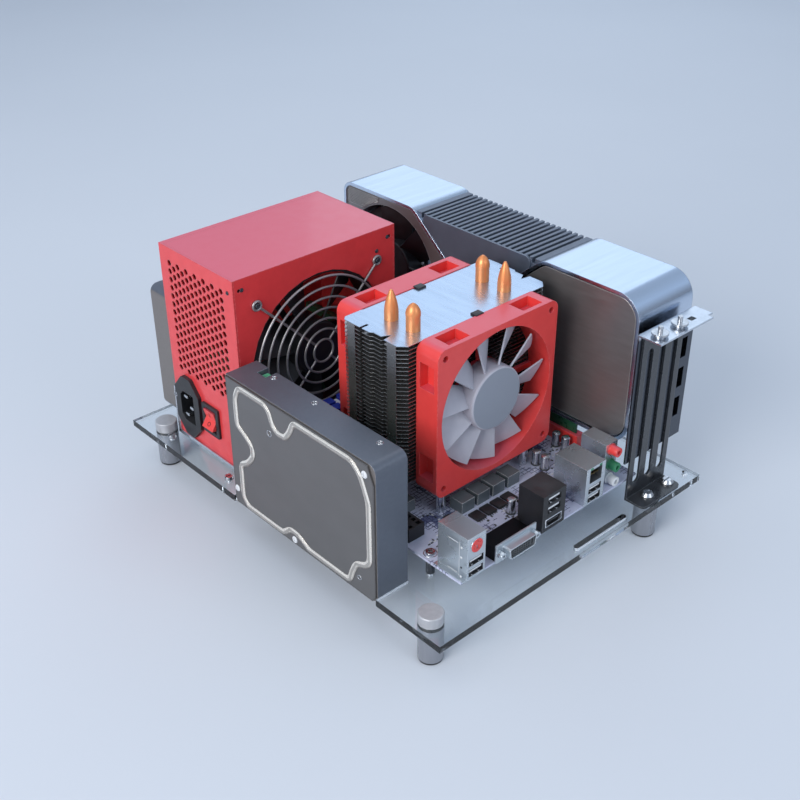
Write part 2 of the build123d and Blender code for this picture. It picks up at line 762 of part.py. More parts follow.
with BuildPart() as lan_usb_block:
    block((22.0, port_face, board_top), (41.0, -122.0, 73.0))
    usb_port(31.5, port_face, 45.4)
    usb_port(31.5, port_face, 52.4)
    block((25.5, port_face, 60.6), (37.5, port_face + 12, 71.0), mode=Mode.SUBTRACT)
    block((28.0, port_face + 10, 68.6), (35.0, port_face + 12, 71.0))
lan_usb_block.part.label = "lan_usb_block"
export_step(lan_usb_block.part, "parts/lan_usb_block.step")

audio_face = -142.0
jack_heights = [71.0, 59.0, 47.5]

with BuildPart() as audio_block:
    block((50.0, audio_face, board_top), (62.0, -121.0, 76.0))
audio_block.part.label = "audio_block"
export_step(audio_block.part, "parts/audio_block.step")

with BuildPart() as audio_jacks:
    with BuildSketch(Plane.XZ.offset(-audio_face)):
        with Locations(*[(56.0, z) for z in jack_heights]):
            Circle(3.5)
            Circle(1.8, mode=Mode.SUBTRACT)
    extrude(amount=6.5)
    with BuildSketch(Plane.XZ.offset(-audio_face)):
        with Locations(*[(56.0, z) for z in jack_heights]):
            Circle(3.5)
    extrude(amount=1.0)
audio_jacks.part.label = "audio_jacks"
export_step(audio_jacks.part, "parts/audio_jacks.step")

slot_center_x = card_board_x + card_board_thickness / 2
slot_near = -102.0
slot_far = -12.5
edge_near = -98.0
edge_far = -16.0
edge_bottom = 49.0

with BuildPart() as card_slot:
    block((slot_center_x - 3.8, slot_near, board_top), (slot_center_x + 3.8, slot_far, 55.0))
    slot_low = (slot_center_x - 1.0, edge_near - 0.5, edge_bottom)
    block(slot_low, (slot_center_x + 1.0, edge_far + 0.5, 55.0), mode=Mode.SUBTRACT)
    block((slot_center_x - 2.6, slot_far, board_top), (slot_center_x + 2.6, slot_far + 9, 52.0))
card_slot.part.label = "card_slot"
export_step(card_slot.part, "parts/card_slot.step")

memory_left = -65.0
memory_right = 67.5
memory_rows = [8.0, 17.0]

with BuildPart() as memory_slots:
    for y in memory_rows:
        block((memory_left - 4, y - 3.2, board_top), (memory_right + 1.0, y + 3.2, 51.0))
        block((memory_left - 4, y - 2.2, 51.0), (memory_left - 0.3, y + 2.2, 58.0))
        block((memory_left, y - 0.8, 47.0), (memory_right, y + 0.8, 51.0), mode=Mode.SUBTRACT)
memory_slots.part.label = "memory_slots"
export_step(memory_slots.part, "parts/memory_slots.step")

with BuildPart() as memory_modules:
    for y in memory_rows:
        block((memory_left + 0.2, y - 0.6, 47.0), (memory_right - 0.2, y + 0.6, 78.0))
        block((memory_left + 5, y - 3.4, 53.0), (memory_right - 5, y + 3.4, 84.0))
        for step in range(9):
            notch_x = memory_left + 12 + step * 13.0
            block((notch_x, y - 3.4, 80.0), (notch_x + 6, y + 3.4, 84.0), mode=Mode.SUBTRACT)
memory_modules.part.label = "memory_modules"
export_step(memory_modules.part, "parts/memory_modules.step")

with BuildPart() as power_chokes:
    with Locations(*[(x, -95.0, board_top) for x in (-37.0, -22.5, -8.0, 6.5)]):
        Box(11.5, 11.5, 8.8, align=(Align.CENTER, Align.CENTER, Align.MIN))
    with Locations(*[(-66.5, y, board_top) for y in (-70.0, -56.0, -42.0)]):
        Box(11.0, 11.0, 8.8, align=(Align.CENTER, Align.CENTER, Align.MIN))
    with Locations(*[(x, -109.0, board_top) for x in (-37.0, -27.0, -17.0, -7.0)]):
        Box(8.0, 9.0, 1.6, align=(Align.CENTER, Align.CENTER, Align.MIN))
power_chokes.part.label = "power_chokes"
export_step(power_chokes.part, "parts/power_chokes.step")

capacitor_places = [
    (64.5, -88), (64.5, -96.5), (36.5, -94), (36.5, -102), (-17.5, -120.5), (18, -76), (26, -76),
]

with BuildPart() as capacitors:
    with BuildSketch(Plane.XY.offset(board_top)):
        with Locations(*capacitor_places):
            Circle(3.1)
    extrude(amount=11)
    chamfer(capacitors.faces().filter_by(Axis.Z).group_by(Axis.Z)[-1].edges(), length=0.5)
capacitors.part.label = "capacitors"
export_step(capacitors.part, "parts/capacitors.step")

with BuildPart() as board_power_sockets:
    block((-88.5, -99.0, board_top), (-75.0, -81.0, 54.0))
    for x in (-85.2, -78.3):
        for y in (-96.5, -92.2, -87.9, -83.6):
            block((x - 1.4, y - 1.4, 46.0), (x + 1.4, y + 1.4, 54.0), mode=Mode.SUBTRACT)
    block((-88.5, -50.0, board_top), (-80.0, 2.0, 56.0))
board_power_sockets.part.label = "board_power_sockets"
export_step(board_power_sockets.part, "parts/board_power_sockets.step")

# Processor socket and tower cooler

pipe_rows = [-61.5, -41.5]
pipe_left = -50.0
pipe_right = 31.4
pipe_bend = 12.0
pipe_floor = 55.5
processor_x = (pipe_left + pipe_right) / 2
processor_y = sum(pipe_rows) / 2
lid_top = 50.5
base_top = 60.3
post_offset = 37.5
fin_bottom = fin_top - (fin_count - 1) * fin_pitch - fin_thickness

with BuildPart() as cpu_socket:
    with Locations((processor_x, processor_y, board_top)):
        Box(50, 44, 4, align=(Align.CENTER, Align.CENTER, Align.MIN))
        Box(38, 38, lid_top - board_top, align=(Align.CENTER, Align.CENTER, Align.MIN))
cpu_socket.part.label = "cpu_socket"
export_step(cpu_socket.part, "parts/cpu_socket.step")

with BuildPart() as cooler_base:
    with Locations((processor_x, processor_y, lid_top)):
        Box(39, 34, base_top - lid_top, align=(Align.CENTER, Align.CENTER, Align.MIN))
    with BuildSketch(Plane.XY.offset(57)):
        with Locations((processor_x, processor_y)):
            for turn in (1, -1):
                with Locations(Location((0, 0), 41.8 * turn)):
                    SlotCenterToCenter(2 * post_offset * 1.4142, 7.4)
            Rectangle(39, 34)
            with Locations((0, 0)):
                Rectangle(80, 30, mode=Mode.SUBTRACT)
            Rectangle(39, 34)
    extrude(amount=2)
    with BuildSketch(Plane.XY.offset(board_top)):
        with Locations((processor_x, processor_y)):
            for x in (-1, 1):
                for y in (-1, 1):
                    with Locations((x * post_offset * 1.0545, y * post_offset * 0.9428)):
                        Circle(3.4)
    extrude(amount=15.8)
    for y in pipe_rows:
        with Locations(Location((processor_x, y, pipe_floor), (0, 90, 0))):
            Cylinder(pipe_radius + running_clearance, 60, mode=Mode.SUBTRACT)
cooler_base.part.label = "cooler_base"
export_step(cooler_base.part, "parts/cooler_base.step")


def fin_outline():
    """One fin seen from above: straight back and front, worked ends."""
    left = cooler_center_x - fin_width / 2
    middle = (fin_front + fin_back) / 2
    with BuildSketch() as outline:
        with Locations((cooler_center_x, middle)):
            Rectangle(fin_width, fin_depth)
        chamfer(outline.vertices().group_by(Axis.Y)[0], length=5)
        chamfer(outline.vertices().group_by(Axis.Y)[-1], length=2.5)
        with Locations((cooler_center_x, fin_front), (cooler_center_x, fin_back)):
            Rectangle(9, 4, mode=Mode.SUBTRACT)
        for side in (-1, 1):
            end_x = cooler_center_x + side * fin_width / 2
            with Locations((end_x - side * 3, fin_back - 18)):
                Rectangle(6, 2, mode=Mode.SUBTRACT)
            with BuildLine():
                Polyline(
                    (end_x, fin_back - 26), (end_x - side * 1.6, fin_back - 28),
                    (end_x - side * 1.6, fin_back - 35), (end_x - side * 7.3, fin_back - 38.5),
                    (end_x, fin_back - 39.5), close=True,
                )
            make_face(mode=Mode.SUBTRACT)
    return outline.sketch


with BuildPart() as cooler_fins:
    fin_face = fin_outline()
    for level in range(fin_count):
        fin_z = fin_top - fin_thickness - level * fin_pitch
        extrude(fin_face.moved(Location((0, 0, fin_z))), amount=fin_thickness)
    for side in (-1, 1):
        end_x = cooler_center_x + side * fin_width / 2
        for near, far in ((12, 5), (50, 42)):
            block((end_x - side * 0.5, fin_back - near, fin_bottom), (end_x, fin_back - far, fin_top))
cooler_fins.part.label = "cooler_fins"
export_step(cooler_fins.part, "parts/cooler_fins.step")


def pipe_tip(shoulder, height, nose):
    """Closed end of a heat pipe, turned about its own axis."""
    with BuildPart() as tip:
        with BuildSketch(Plane.XZ):
            with BuildLine():
                Polyline((0, height), (0, 0), (pipe_radius, 0), (pipe_radius, shoulder))
                ThreePointArc(
                    (pipe_radius, shoulder), (pipe_radius * nose, (shoulder + height) / 2 + 1), (0.9, height),
                )
                Line((0.9, height), (0, height))
            make_face()
        revolve(axis=Axis.Z)
    return tip.part


with BuildPart() as cooler_pipes:
    for y in pipe_rows:
        with BuildLine(Plane.XZ.offset(-y)) as run:
            FilletPolyline(
                (pipe_left, fin_bottom), (pipe_left, pipe_floor), (pipe_right, pipe_floor), (pipe_right, fin_bottom),
                radius=pipe_bend,
            )
        with BuildSketch(Plane(origin=(pipe_left, y, fin_bottom), z_dir=(0, 0, -1))):
            Circle(pipe_radius)
        sweep(path=run.line)
    with Locations((pipe_left, pipe_rows[0], fin_top), (pipe_right, pipe_rows[1], fin_top)):
        add(pipe_tip(9, 18, 0.86))
    with Locations((pipe_left, pipe_rows[1], fin_top), (pipe_right, pipe_rows[0], fin_top)):
        add(pipe_tip(5, 20, 0.72))
cooler_pipes.part.label = "cooler_pipes"
export_step(cooler_pipes.part, "parts/cooler_pipes.step")

# Graphics card: an hourglass band round two fans, with fins in its waist

near_shoulder = card_near + card_shoulder + 19
near_tip = 6.0
far_shoulder = 68.0
far_tip = 2.0
shoulder_radius = 14.0
near_radius = 18.0
far_radius = 9.0
card_fan_depth = 17.0
card_duct = 48.0
card_hub = 20.0
card_fan_y = [-90.0, 94.0]
card_plate_x = 71.0


def card_outline(end_y, shoulder_y, tip_y, end_radius, inset):
    """One half of the hourglass in the YZ plane, drawn in by the inset."""
    with BuildSketch(Plane.YZ) as outline:
        with BuildLine():
            Polyline(
                (end_y, card_base), (end_y, card_top), (shoulder_y, card_top),
                (tip_y, card_middle_z), (shoulder_y, card_base), close=True,
            )
        make_face()
        fillet([v for v in outline.vertices() if abs(v.X - end_y) < 0.01], radius=end_radius)
        fillet([v for v in outline.vertices() if abs(v.X - shoulder_y) < 0.01], radius=shoulder_radius)
        if inset > 0:
            offset(amount=-inset, mode=Mode.REPLACE)
    return outline.sketch


def near_outline(inset):
    return card_outline(card_near, near_shoulder, near_tip, near_radius, inset)


def far_outline(inset):
    return card_outline(card_far, far_shoulder, far_tip, far_radius, inset)


with BuildPart() as card_frame:
    for outline in (near_outline, far_outline):
        extrude(outline(0).moved(Location((card_left, 0, 0))), amount=card_right - card_left)
    for outline in (near_outline, far_outline):
        hollow = outline(card_band).moved(Location((card_left, 0, 0)))
        extrude(hollow, amount=card_right - card_left, mode=Mode.SUBTRACT)
    block(
        (card_board_x, edge_near, card_base - 1),
        (card_board_x + card_board_thickness, edge_far, card_middle_z - 8),
        mode=Mode.SUBTRACT,
    )
card_frame.part.label = "card_frame"
export_step(card_frame.part, "parts/card_frame.step")

# Fins in the waist, one wedge above and one below

wedge_inset = 2.0
wedge_high = card_top - wedge_inset
wedge_slope = (card_top - card_middle_z) / (near_tip - near_shoulder)
wedge_center = (near_shoulder + far_shoulder) / 2
wedge_half = far_shoulder - wedge_center - wedge_inset / wedge_slope
wedge_point = card_top - (wedge_center - near_shoulder) * wedge_slope
wedge_left = card_left + 0.4
wedge_right = card_right - 1.0
wedge_sheet = 1.6
wedge_slot_depth = 14.0
wedge_slots = 22
wedge_pitch = 5.2


def wedge(face_radius):
    """Upper wedge of fins with a rounded cover plate on the board side."""
    points = [
        (wedge_center - wedge_half, wedge_high),
        (wedge_center + wedge_half, wedge_high),
        (wedge_center, wedge_point),
    ]
    with BuildPart() as body:
        with BuildSketch(Plane.YZ.offset(wedge_left)) as face:
            with BuildLine():
                Polyline(*points, close=True)
            make_face()
            fillet(face.vertices().group_by(Axis.Y)[-1], radius=face_radius)
        extrude(amount=wedge_sheet)
        with BuildSketch(Plane.YZ.offset(wedge_left + wedge_sheet)):
            with BuildLine():
                Polyline(*points, close=True)
            make_face()
        extrude(amount=wedge_right - wedge_left - wedge_sheet)
        for slot in range(wedge_slots):
            slot_y = wedge_center + (slot - (wedge_slots - 1) / 2) * wedge_pitch
            low = wedge_high - min(wedge_slot_depth, (wedge_half - abs(slot_y - wedge_center)) * 0.6)
            block(
                (wedge_left + wedge_sheet, slot_y - 1.4, low),
                (wedge_right, slot_y + 1.4, wedge_high),
                mode=Mode.SUBTRACT,
            )
    return body.part


upper_wedge = wedge(5)

with BuildPart() as card_fins_top:
    add(upper_wedge)
card_fins_top.part.label = "card_fins_top"
export_step(card_fins_top.part, "parts/card_fins_top.step")

with BuildPart() as card_fins_bottom:
    add(upper_wedge.mirror(Plane.XY.offset(card_middle_z)))
    block(
        (card_board_x, edge_near, card_base - 1),
        (card_board_x + card_board_thickness, edge_far, card_middle_z - 8),
        mode=Mode.SUBTRACT,
    )
card_fins_bottom.part.label = "card_fins_bottom"
export_step(card_fins_bottom.part, "parts/card_fins_bottom.step")

# Circuit board of the card, with the edge connector in the slot

with BuildPart() as card_board:
    with BuildSketch(Plane.YZ.offset(card_board_x)):
        with BuildLine():
            Polyline(
                (-138, 72), (edge_near, 72), (edge_near, edge_bottom), (edge_far, edge_bottom),
                (edge_far, 130), (-62, 168), (-138, 168), close=True,
            )
        make_face()
        chamfer(vertices().group_by(Axis.X)[0], length=10)
    extrude(amount=card_board_thickness)
    block((card_board_x + card_board_thickness, -110, 100), (card_board_x + 3.6, -70, 140))
card_board.part.label = "card_board"
export_step(card_board.part, "parts/card_board.step")

heatsink_base = card_board_x + 3.6
heatsink_fins = 12
heatsink_pitch = 5.6

with BuildPart() as card_heatsink:
    block((heatsink_base, -132, 74), (heatsink_base + 3, -68, 166))
    for fin in range(heatsink_fins):
        fin_y = -100 + (fin - (heatsink_fins - 1) / 2) * heatsink_pitch
        block((heatsink_base + 3, fin_y - 0.6, 74), (heatsink_base + 26, fin_y + 0.6, 166))
card_heatsink.part.label = "card_heatsink"
export_step(card_heatsink.part, "parts/card_heatsink.step")

with BuildPart() as card_plate:
    extrude(near_outline(card_band + 1.1).moved(Location((card_plate_x, 0, 0))), amount=card_board_x - card_plate_x)
card_plate.part.label = "card_plate"
export_step(card_plate.part, "parts/card_plate.step")


def card_duct_ring(place):
    """Round duct behind a card fan, with its spider and shaft; mouth at +Z."""
    with BuildPart() as ring:
        with Locations(place):
            Cylinder(card_duct + 1.6, card_fan_depth - 2, align=(Align.CENTER, Align.CENTER, Align.MIN))
            Cylinder(card_duct, card_fan_depth, align=(Align.CENTER, Align.CENTER, Align.MIN), mode=Mode.SUBTRACT)
            for turn in (30, 90, 150):
                with Locations(Location((0, 0, 0), (0, 0, turn))):
                    Box(2 * card_duct + 1, 5, 2.4, align=(Align.CENTER, Align.CENTER, Align.MIN))
            Cylinder(card_hub, 2.4, align=(Align.CENTER, Align.CENTER, Align.MIN))
            Cylinder(shaft_radius, card_fan_depth - 6, align=(Align.CENTER, Align.CENTER, Align.MIN))
    return ring.part


far_fan_place = Location((card_plate_x + card_fan_depth, card_fan_y[1], card_middle_z), (0, -90, 0))
near_fan_place = Location((card_right - 1 - card_fan_depth, card_fan_y[0], card_middle_z), (0, 90, 0))

with BuildPart() as card_fan_plate:
    extrude(far_outline(card_band + fit_gap).moved(Location((card_plate_x, 0, 0))), amount=2)
    with Locations(far_fan_place):
        Cylinder(card_duct, card_fan_depth + 2, align=(Align.CENTER, Align.CENTER, Align.MIN), mode=Mode.SUBTRACT)
    add(card_duct_ring(far_fan_place))
card_fan_plate.part.label = "card_fan_plate"
export_step(card_fan_plate.part, "parts/card_fan_plate.step")

with BuildPart() as card_shroud_near:
    extrude(near_outline(card_band + fit_gap).moved(Location((card_right - 3, 0, 0))), amount=2)
    with Locations(near_fan_place):
        Cylinder(card_duct, card_fan_depth + 2, align=(Align.CENTER, Align.CENTER, Align.MIN), mode=Mode.SUBTRACT)
    add(card_duct_ring(near_fan_place))
card_shroud_near.part.label = "card_shroud_near"
export_step(card_shroud_near.part, "parts/card_shroud_near.step")

card_rotor = fan_rotor(card_fan_depth, card_duct, card_hub, 7, 36, 22)

with BuildPart() as card_rotor_far:
    with Locations(far_fan_place):
        add(card_rotor)
card_rotor_far.part.label = "card_rotor_far"
export_step(card_rotor_far.part, "parts/card_rotor_far.step")

with BuildPart() as card_rotor_near:
    with Locations(near_fan_place):
        add(card_rotor)
card_rotor_near.part.label = "card_rotor_near"
export_step(card_rotor_near.part, "parts/card_rotor_near.step")

with BuildPart() as card_fins_far:
    for fin in range(heatsink_fins):
        fin_y = 105 + (fin - (heatsink_fins - 1) / 2) * heatsink_pitch
        block((92, fin_y - 0.6, card_base + card_band), (card_right - 1.5, fin_y + 0.6, card_top - card_band))
    for bar_z in (card_middle_z - 22, card_middle_z + 22):
        block((104, 74, bar_z - 3), (110, 136, bar_z + 3))
card_fins_far.part.label = "card_fins_far"
export_step(card_fins_far.part, "parts/card_fins_far.step")

# Card bracket with its sockets, hooked over the support

bracket_left = 61.0
bracket_right = 121.0
bracket_face = support_face + support_sheet
bracket_sheet = 1.2
bracket_back = bracket_face + bracket_sheet
socket_heights = [76.0, 99.0, 122.0]

with BuildPart() as card_bracket:
    block((bracket_left, bracket_face, 60), (bracket_right, bracket_back, tab_underside + tab_sheet))
    block((bracket_left, support_edge, tab_underside), (bracket_right, bracket_back, tab_underside + tab_sheet))
    for z in socket_heights:
        block((109, bracket_back, z), (117, card_near, z + 17))
        block((110, bracket_face, z + 1), (116, card_near - 0.8, z + 16), mode=Mode.SUBTRACT)
    block((bracket_right - 5, support_edge, tab_underside), (bracket_right, support_edge + 4, 158), mode=Mode.SUBTRACT)
    with BuildSketch(Plane.XY.offset(tab_underside)):
        with Locations(*stud_tops):
            Circle(1.8)
        with Locations((104.3, -158.6)):
            Rectangle(5.5, 4)
    extrude(amount=tab_sheet, mode=Mode.SUBTRACT)
card_bracket.part.label = "card_bracket"
export_step(card_bracket.part, "parts/card_bracket.step")
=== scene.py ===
import bpy
from math import cos, pi, radians, sin
from mathutils import Matrix, Quaternion, Vector


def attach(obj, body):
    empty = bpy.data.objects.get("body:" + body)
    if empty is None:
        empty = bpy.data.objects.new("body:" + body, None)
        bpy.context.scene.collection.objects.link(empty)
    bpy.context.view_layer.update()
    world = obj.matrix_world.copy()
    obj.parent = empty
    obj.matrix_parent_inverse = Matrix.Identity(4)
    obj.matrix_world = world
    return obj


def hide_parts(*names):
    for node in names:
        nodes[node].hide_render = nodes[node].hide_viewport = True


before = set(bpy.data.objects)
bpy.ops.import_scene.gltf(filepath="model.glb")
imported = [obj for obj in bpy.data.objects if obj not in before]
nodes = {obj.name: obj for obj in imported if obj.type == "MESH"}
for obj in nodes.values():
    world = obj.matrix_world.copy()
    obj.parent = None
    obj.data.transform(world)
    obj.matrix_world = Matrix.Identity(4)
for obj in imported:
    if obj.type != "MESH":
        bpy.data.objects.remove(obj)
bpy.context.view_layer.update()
MM = 0.001


# Camera at the photograph's angle

camera_data = bpy.data.cameras.new("photo_camera")
camera_data.lens = 52.13
camera_data.sensor_width = 36.0
camera_data.clip_end = 20.0
camera = bpy.data.objects.new("photo_camera", camera_data)
camera.location = (-0.4802, -0.5219, 0.5022)
camera.rotation_mode = "QUATERNION"
camera.rotation_quaternion = Quaternion((0.812586, 0.456719, -0.175320, -0.316820))
bpy.context.collection.objects.link(camera)
bpy.context.scene.camera = camera


# Shared surface effects

def new_group(name, numbers, vectors, outputs):
    """An empty node group with number and vector inputs, and its two end nodes."""
    group = bpy.data.node_groups.new(name, "ShaderNodeTree")
    for inputs, kind in ((numbers, "NodeSocketFloat"), (vectors, "NodeSocketVector")):
        for title, value in inputs.items():
            socket = group.interface.new_socket(title, in_out="INPUT", socket_type=kind)
            socket.default_value = value
    for title, kind in outputs.items():
        group.interface.new_socket(title, in_out="OUTPUT", socket_type=kind)
    start = group.nodes.new("NodeGroupInput")
    end = group.nodes.new("NodeGroupOutput")
    return group, start, end


def add_range(tree, low, high):
    """A value spread from black at one number to white at another."""
    node = tree.nodes.new("ShaderNodeMapRange")
    node.inputs["From Min"].default_value = low
    node.inputs["From Max"].default_value = high
    return node


def add_math(tree, operation):
    """A math node of one kind."""
    node = tree.nodes.new("ShaderNodeMath")
    node.operation = operation
    return node


def build_grain():
    """Two octaves of noise on the object's own coordinates, stretched along an axis."""
    group, start, end = new_group(
        "grain", {"Scale": 100.0, "Contrast": 1.0}, {"Stretch": (1.0, 1.0, 1.0)},
        {"Mask": "NodeSocketFloat", "Height": "NodeSocketFloat"})
    place = group.nodes.new("ShaderNodeTexCoord")
    mapping = group.nodes.new("ShaderNodeMapping")
    coarse = group.nodes.new("ShaderNodeTexNoise")
    fine = group.nodes.new("ShaderNodeTexNoise")
    fine_scale = add_math(group, "MULTIPLY")
    fine_scale.inputs[1].default_value = 7.0
    fine.inputs["Detail"].default_value = 3.0
    coarse.inputs["Detail"].default_value = 5.0
    remap = add_range(group, 0.32, 0.68)
    power = add_math(group, "POWER")
    link = group.links.new
    link(place.outputs["Object"], mapping.inputs["Vector"])
    link(start.outputs["Stretch"], mapping.inputs["Scale"])
    link(mapping.outputs["Vector"], coarse.inputs["Vector"])
    link(mapping.outputs["Vector"], fine.inputs["Vector"])
    link(start.outputs["Scale"], coarse.inputs["Scale"])
    link(start.outputs["Scale"], fine_scale.inputs[0])
    link(fine_scale.outputs[0], fine.inputs["Scale"])
    link(coarse.outputs["Fac"], remap.inputs["Value"])
    link(remap.outputs["Result"], power.inputs[0])
    link(start.outputs["Contrast"], power.inputs[1])
    link(power.outputs[0], end.inputs["Mask"])
    link(fine.outputs["Fac"], end.inputs["Height"])
    return group


def build_edge():
    """Rounds sharp edges in shading, and masks the edges for a tint that is wear where broken up and a
    painted edge highlight where even.
    """
    group, start, end = new_group(
        "edge_mask", {"Radius": 0.0005, "Breakup": 400.0, "Evenness": 0.0}, {},
        {"Normal": "NodeSocketVector", "Mask": "NodeSocketFloat"})
    bevel = group.nodes.new("ShaderNodeBevel")
    bevel.samples = 4
    geometry = group.nodes.new("ShaderNodeNewGeometry")
    dot = group.nodes.new("ShaderNodeVectorMath")
    dot.operation = "DOT_PRODUCT"
    place = group.nodes.new("ShaderNodeTexCoord")
    noise = group.nodes.new("ShaderNodeTexNoise")
    edge = add_range(group, 0.985, 0.80)
    rough = add_range(group, 0.42, 0.58)
    even = add_math(group, "MAXIMUM")
    both = add_math(group, "MULTIPLY")
    link = group.links.new
    link(start.outputs["Radius"], bevel.inputs["Radius"])
    link(bevel.outputs["Normal"], dot.inputs[0])
    link(geometry.outputs["Normal"], dot.inputs[1])
    link(dot.outputs["Value"], edge.inputs["Value"])
    link(place.outputs["Object"], noise.inputs["Vector"])
    link(start.outputs["Breakup"], noise.inputs["Scale"])
    link(noise.outputs["Fac"], rough.inputs["Value"])
    link(edge.outputs["Result"], both.inputs[0])
    link(rough.outputs["Result"], even.inputs[0])
    link(start.outputs["Evenness"], even.inputs[1])
    link(even.outputs[0], both.inputs[1])
    link(both.outputs[0], end.inputs["Mask"])
    link(bevel.outputs["Normal"], end.inputs["Normal"])
    return group


def build_dust():
    """Thin dust on what faces up, in soft patches."""
    group, start, end = new_group(
        "settled_dust", {"Amount": 0.2, "Scale": 30.0}, {}, {"Mask": "NodeSocketFloat"})
    geometry = group.nodes.new("ShaderNodeNewGeometry")
    split = group.nodes.new("ShaderNodeSeparateXYZ")
    up = add_range(group, 0.5, 1.0)
    place = group.nodes.new("ShaderNodeTexCoord")
    noise = group.nodes.new("ShaderNodeTexNoise")
    noise.inputs["Detail"].default_value = 6.0
    patch = add_range(group, 0.35, 0.75)
    both = add_math(group, "MULTIPLY")
    amount = add_math(group, "MULTIPLY")
    link = group.links.new
    link(geometry.outputs["Normal"], split.inputs[0])
    link(split.outputs["Z"], up.inputs["Value"])
    link(place.outputs["Object"], noise.inputs["Vector"])
    link(start.outputs["Scale"], noise.inputs["Scale"])
    link(noise.outputs["Fac"], patch.inputs["Value"])
    link(up.outputs["Result"], both.inputs[0])
    link(patch.outputs["Result"], both.inputs[1])
    link(both.outputs[0], amount.inputs[0])
    link(start.outputs["Amount"], amount.inputs[1])
    link(amount.outputs[0], end.inputs["Mask"])
    return group


grain_group = build_grain()
edge_group = build_edge()
dust_group = build_dust()


def place_group(material, group, **values):
    """Puts a shared effect in a material, with the material's own values."""
    node = material.node_tree.nodes.new("ShaderNodeGroup")
    node.node_tree = group
    for title, value in values.items():
        node.inputs[title].default_value = value
    return node


def mix_colors(material, mask, first, second):
    """A colour between two, where each is a colour value or an output socket."""
    mix = material.node_tree.nodes.new("ShaderNodeMix")
    mix.data_type = "RGBA"
    link = material.node_tree.links.new
    link(mask, mix.inputs["Factor"])
    for title, value in (("A", first), ("B", second)):
        socket = [s for s in mix.inputs if s.name == title and s.type == "RGBA"][0]
        if hasattr(value, "links"):
            link(value, socket)
        else:
            socket.default_value = (*value, 1.0)
    return [s for s in mix.outputs if s.type == "RGBA"][0]


def surface(name, color, shade, rough, metallic=0.0, grain=(120.0, (1, 1, 1)), bump=0.05, edge=0.0004,
            worn=None, even=0.0, dust=0.15, coat=0.0, specular=0.5):
    """A finish: two tints through a grain, edges tinted for wear and a painted edge highlight, dust, and a
    fine relief.
    """
    material = bpy.data.materials.new(name)
    material.use_nodes = True
    tree = material.node_tree
    link = tree.links.new
    shader = tree.nodes["Principled BSDF"]
    shader.inputs["Metallic"].default_value = metallic
    shader.inputs["Specular IOR Level"].default_value = specular
    shader.inputs["Coat Weight"].default_value = coat
    shader.inputs["Coat Roughness"].default_value = 0.08
    grain_node = place_group(material, grain_group, Scale=grain[0], Stretch=grain[1])
    edge_node = place_group(material, edge_group, Radius=edge, Evenness=even)
    dust_node = place_group(material, dust_group, Amount=dust)
    tint = mix_colors(material, grain_node.outputs["Mask"], color, shade)
    # edge tint: partly wear, partly a painted edge highlight
    if worn:
        tint = mix_colors(material, edge_node.outputs["Mask"], tint, worn)
    tint = mix_colors(material, dust_node.outputs["Mask"], tint, (0.62, 0.62, 0.64))
    link(tint, shader.inputs["Base Color"])
    roughness = tree.nodes.new("ShaderNodeMapRange")
    roughness.inputs["To Min"].default_value = rough[0]
    roughness.inputs["To Max"].default_value = rough[1]
    link(grain_node.outputs["Mask"], roughness.inputs["Value"])
    link(roughness.outputs["Result"], shader.inputs["Roughness"])
    relief = tree.nodes.new("ShaderNodeBump")
    relief.inputs["Strength"].default_value = bump
    relief.inputs["Distance"].default_value = 0.0004
    link(grain_node.outputs["Height"], relief.inputs["Height"])
    link(edge_node.outputs["Normal"], relief.inputs["Normal"])
    link(relief.outputs["Normal"], shader.inputs["Normal"])
    return material


# The edge colour of each finish is partly wear and partly a painted edge highlight; with evenness near 1 it
# is an unbroken painted highlight along every edge.
black_steel = surface("black_steel", (0.018, 0.020, 0.024), (0.026, 0.028, 0.033), (0.25, 0.36), edge=0.0005,
                      worn=(0.22, 0.24, 0.27), even=0.6, dust=0.04, coat=0.3)
black_plastic = surface("black_plastic", (0.012, 0.012, 0.014), (0.020, 0.020, 0.023), (0.36, 0.5), dust=0.05)
dark_plastic = surface("dark_plastic", (0.05, 0.055, 0.06), (0.08, 0.085, 0.09), (0.40, 0.6), dust=0.06)
choke_case = surface("choke_case", (0.14, 0.165, 0.18), (0.17, 0.195, 0.21), (0.30, 0.42), metallic=0.3,
                     edge=0.0005, worn=(1.0, 1.0, 1.0), even=1.0, dust=0.04)
black_metal = surface("black_metal", (0.026, 0.031, 0.040), (0.036, 0.042, 0.052), (0.30, 0.42), metallic=0.4,
                      worn=(0.16, 0.19, 0.24), even=0.7, dust=0.03)
dark_metal = surface("dark_metal", (0.25, 0.235, 0.232), (0.275, 0.26, 0.255), (0.32, 0.40), metallic=0.7,
                     grain=(60.0, (1, 1, 6)), bump=0.01, edge=0.0009, worn=(0.85, 0.81, 0.78), even=1.0,
                     dust=0.02)
chrome = surface("chrome", (0.72, 0.73, 0.75), (0.64, 0.65, 0.68), (0.08, 0.16), metallic=1.0, bump=0.01,
                 dust=0.02)
satin_chrome = surface("satin_chrome", (0.60, 0.69, 0.82), (0.57, 0.66, 0.79), (0.21, 0.26), metallic=1.0,
                       grain=(80.0, (0.2, 3, 3)), bump=0.006, edge=0.0007, dust=0.02)
bright_steel = surface("bright_steel", (0.62, 0.63, 0.65), (0.52, 0.53, 0.55), (0.18, 0.30), metallic=1.0,
                       grain=(300.0, (1, 1, 0.1)), bump=0.02, dust=0.02)
shell_steel = surface("shell_steel", (0.60, 0.65, 0.69), (0.585, 0.635, 0.675), (0.26, 0.29), metallic=0.85,
                      grain=(60.0, (0.2, 1, 1)), bump=0.006, edge=0.0004, worn=(0.9, 0.94, 0.98), even=1.0,
                      dust=0.01)
copper = surface("copper", (0.93, 0.36, 0.14), (0.87, 0.31, 0.11), (0.36, 0.44), metallic=0.6,
                 grain=(200.0, (1, 1, 0.3)), bump=0.01, dust=0.0)
wire_steel = surface("wire_steel", (0.40, 0.39, 0.40), (0.34, 0.33, 0.34), (0.34, 0.44), metallic=0.7,
                     bump=0.01, dust=0.0)
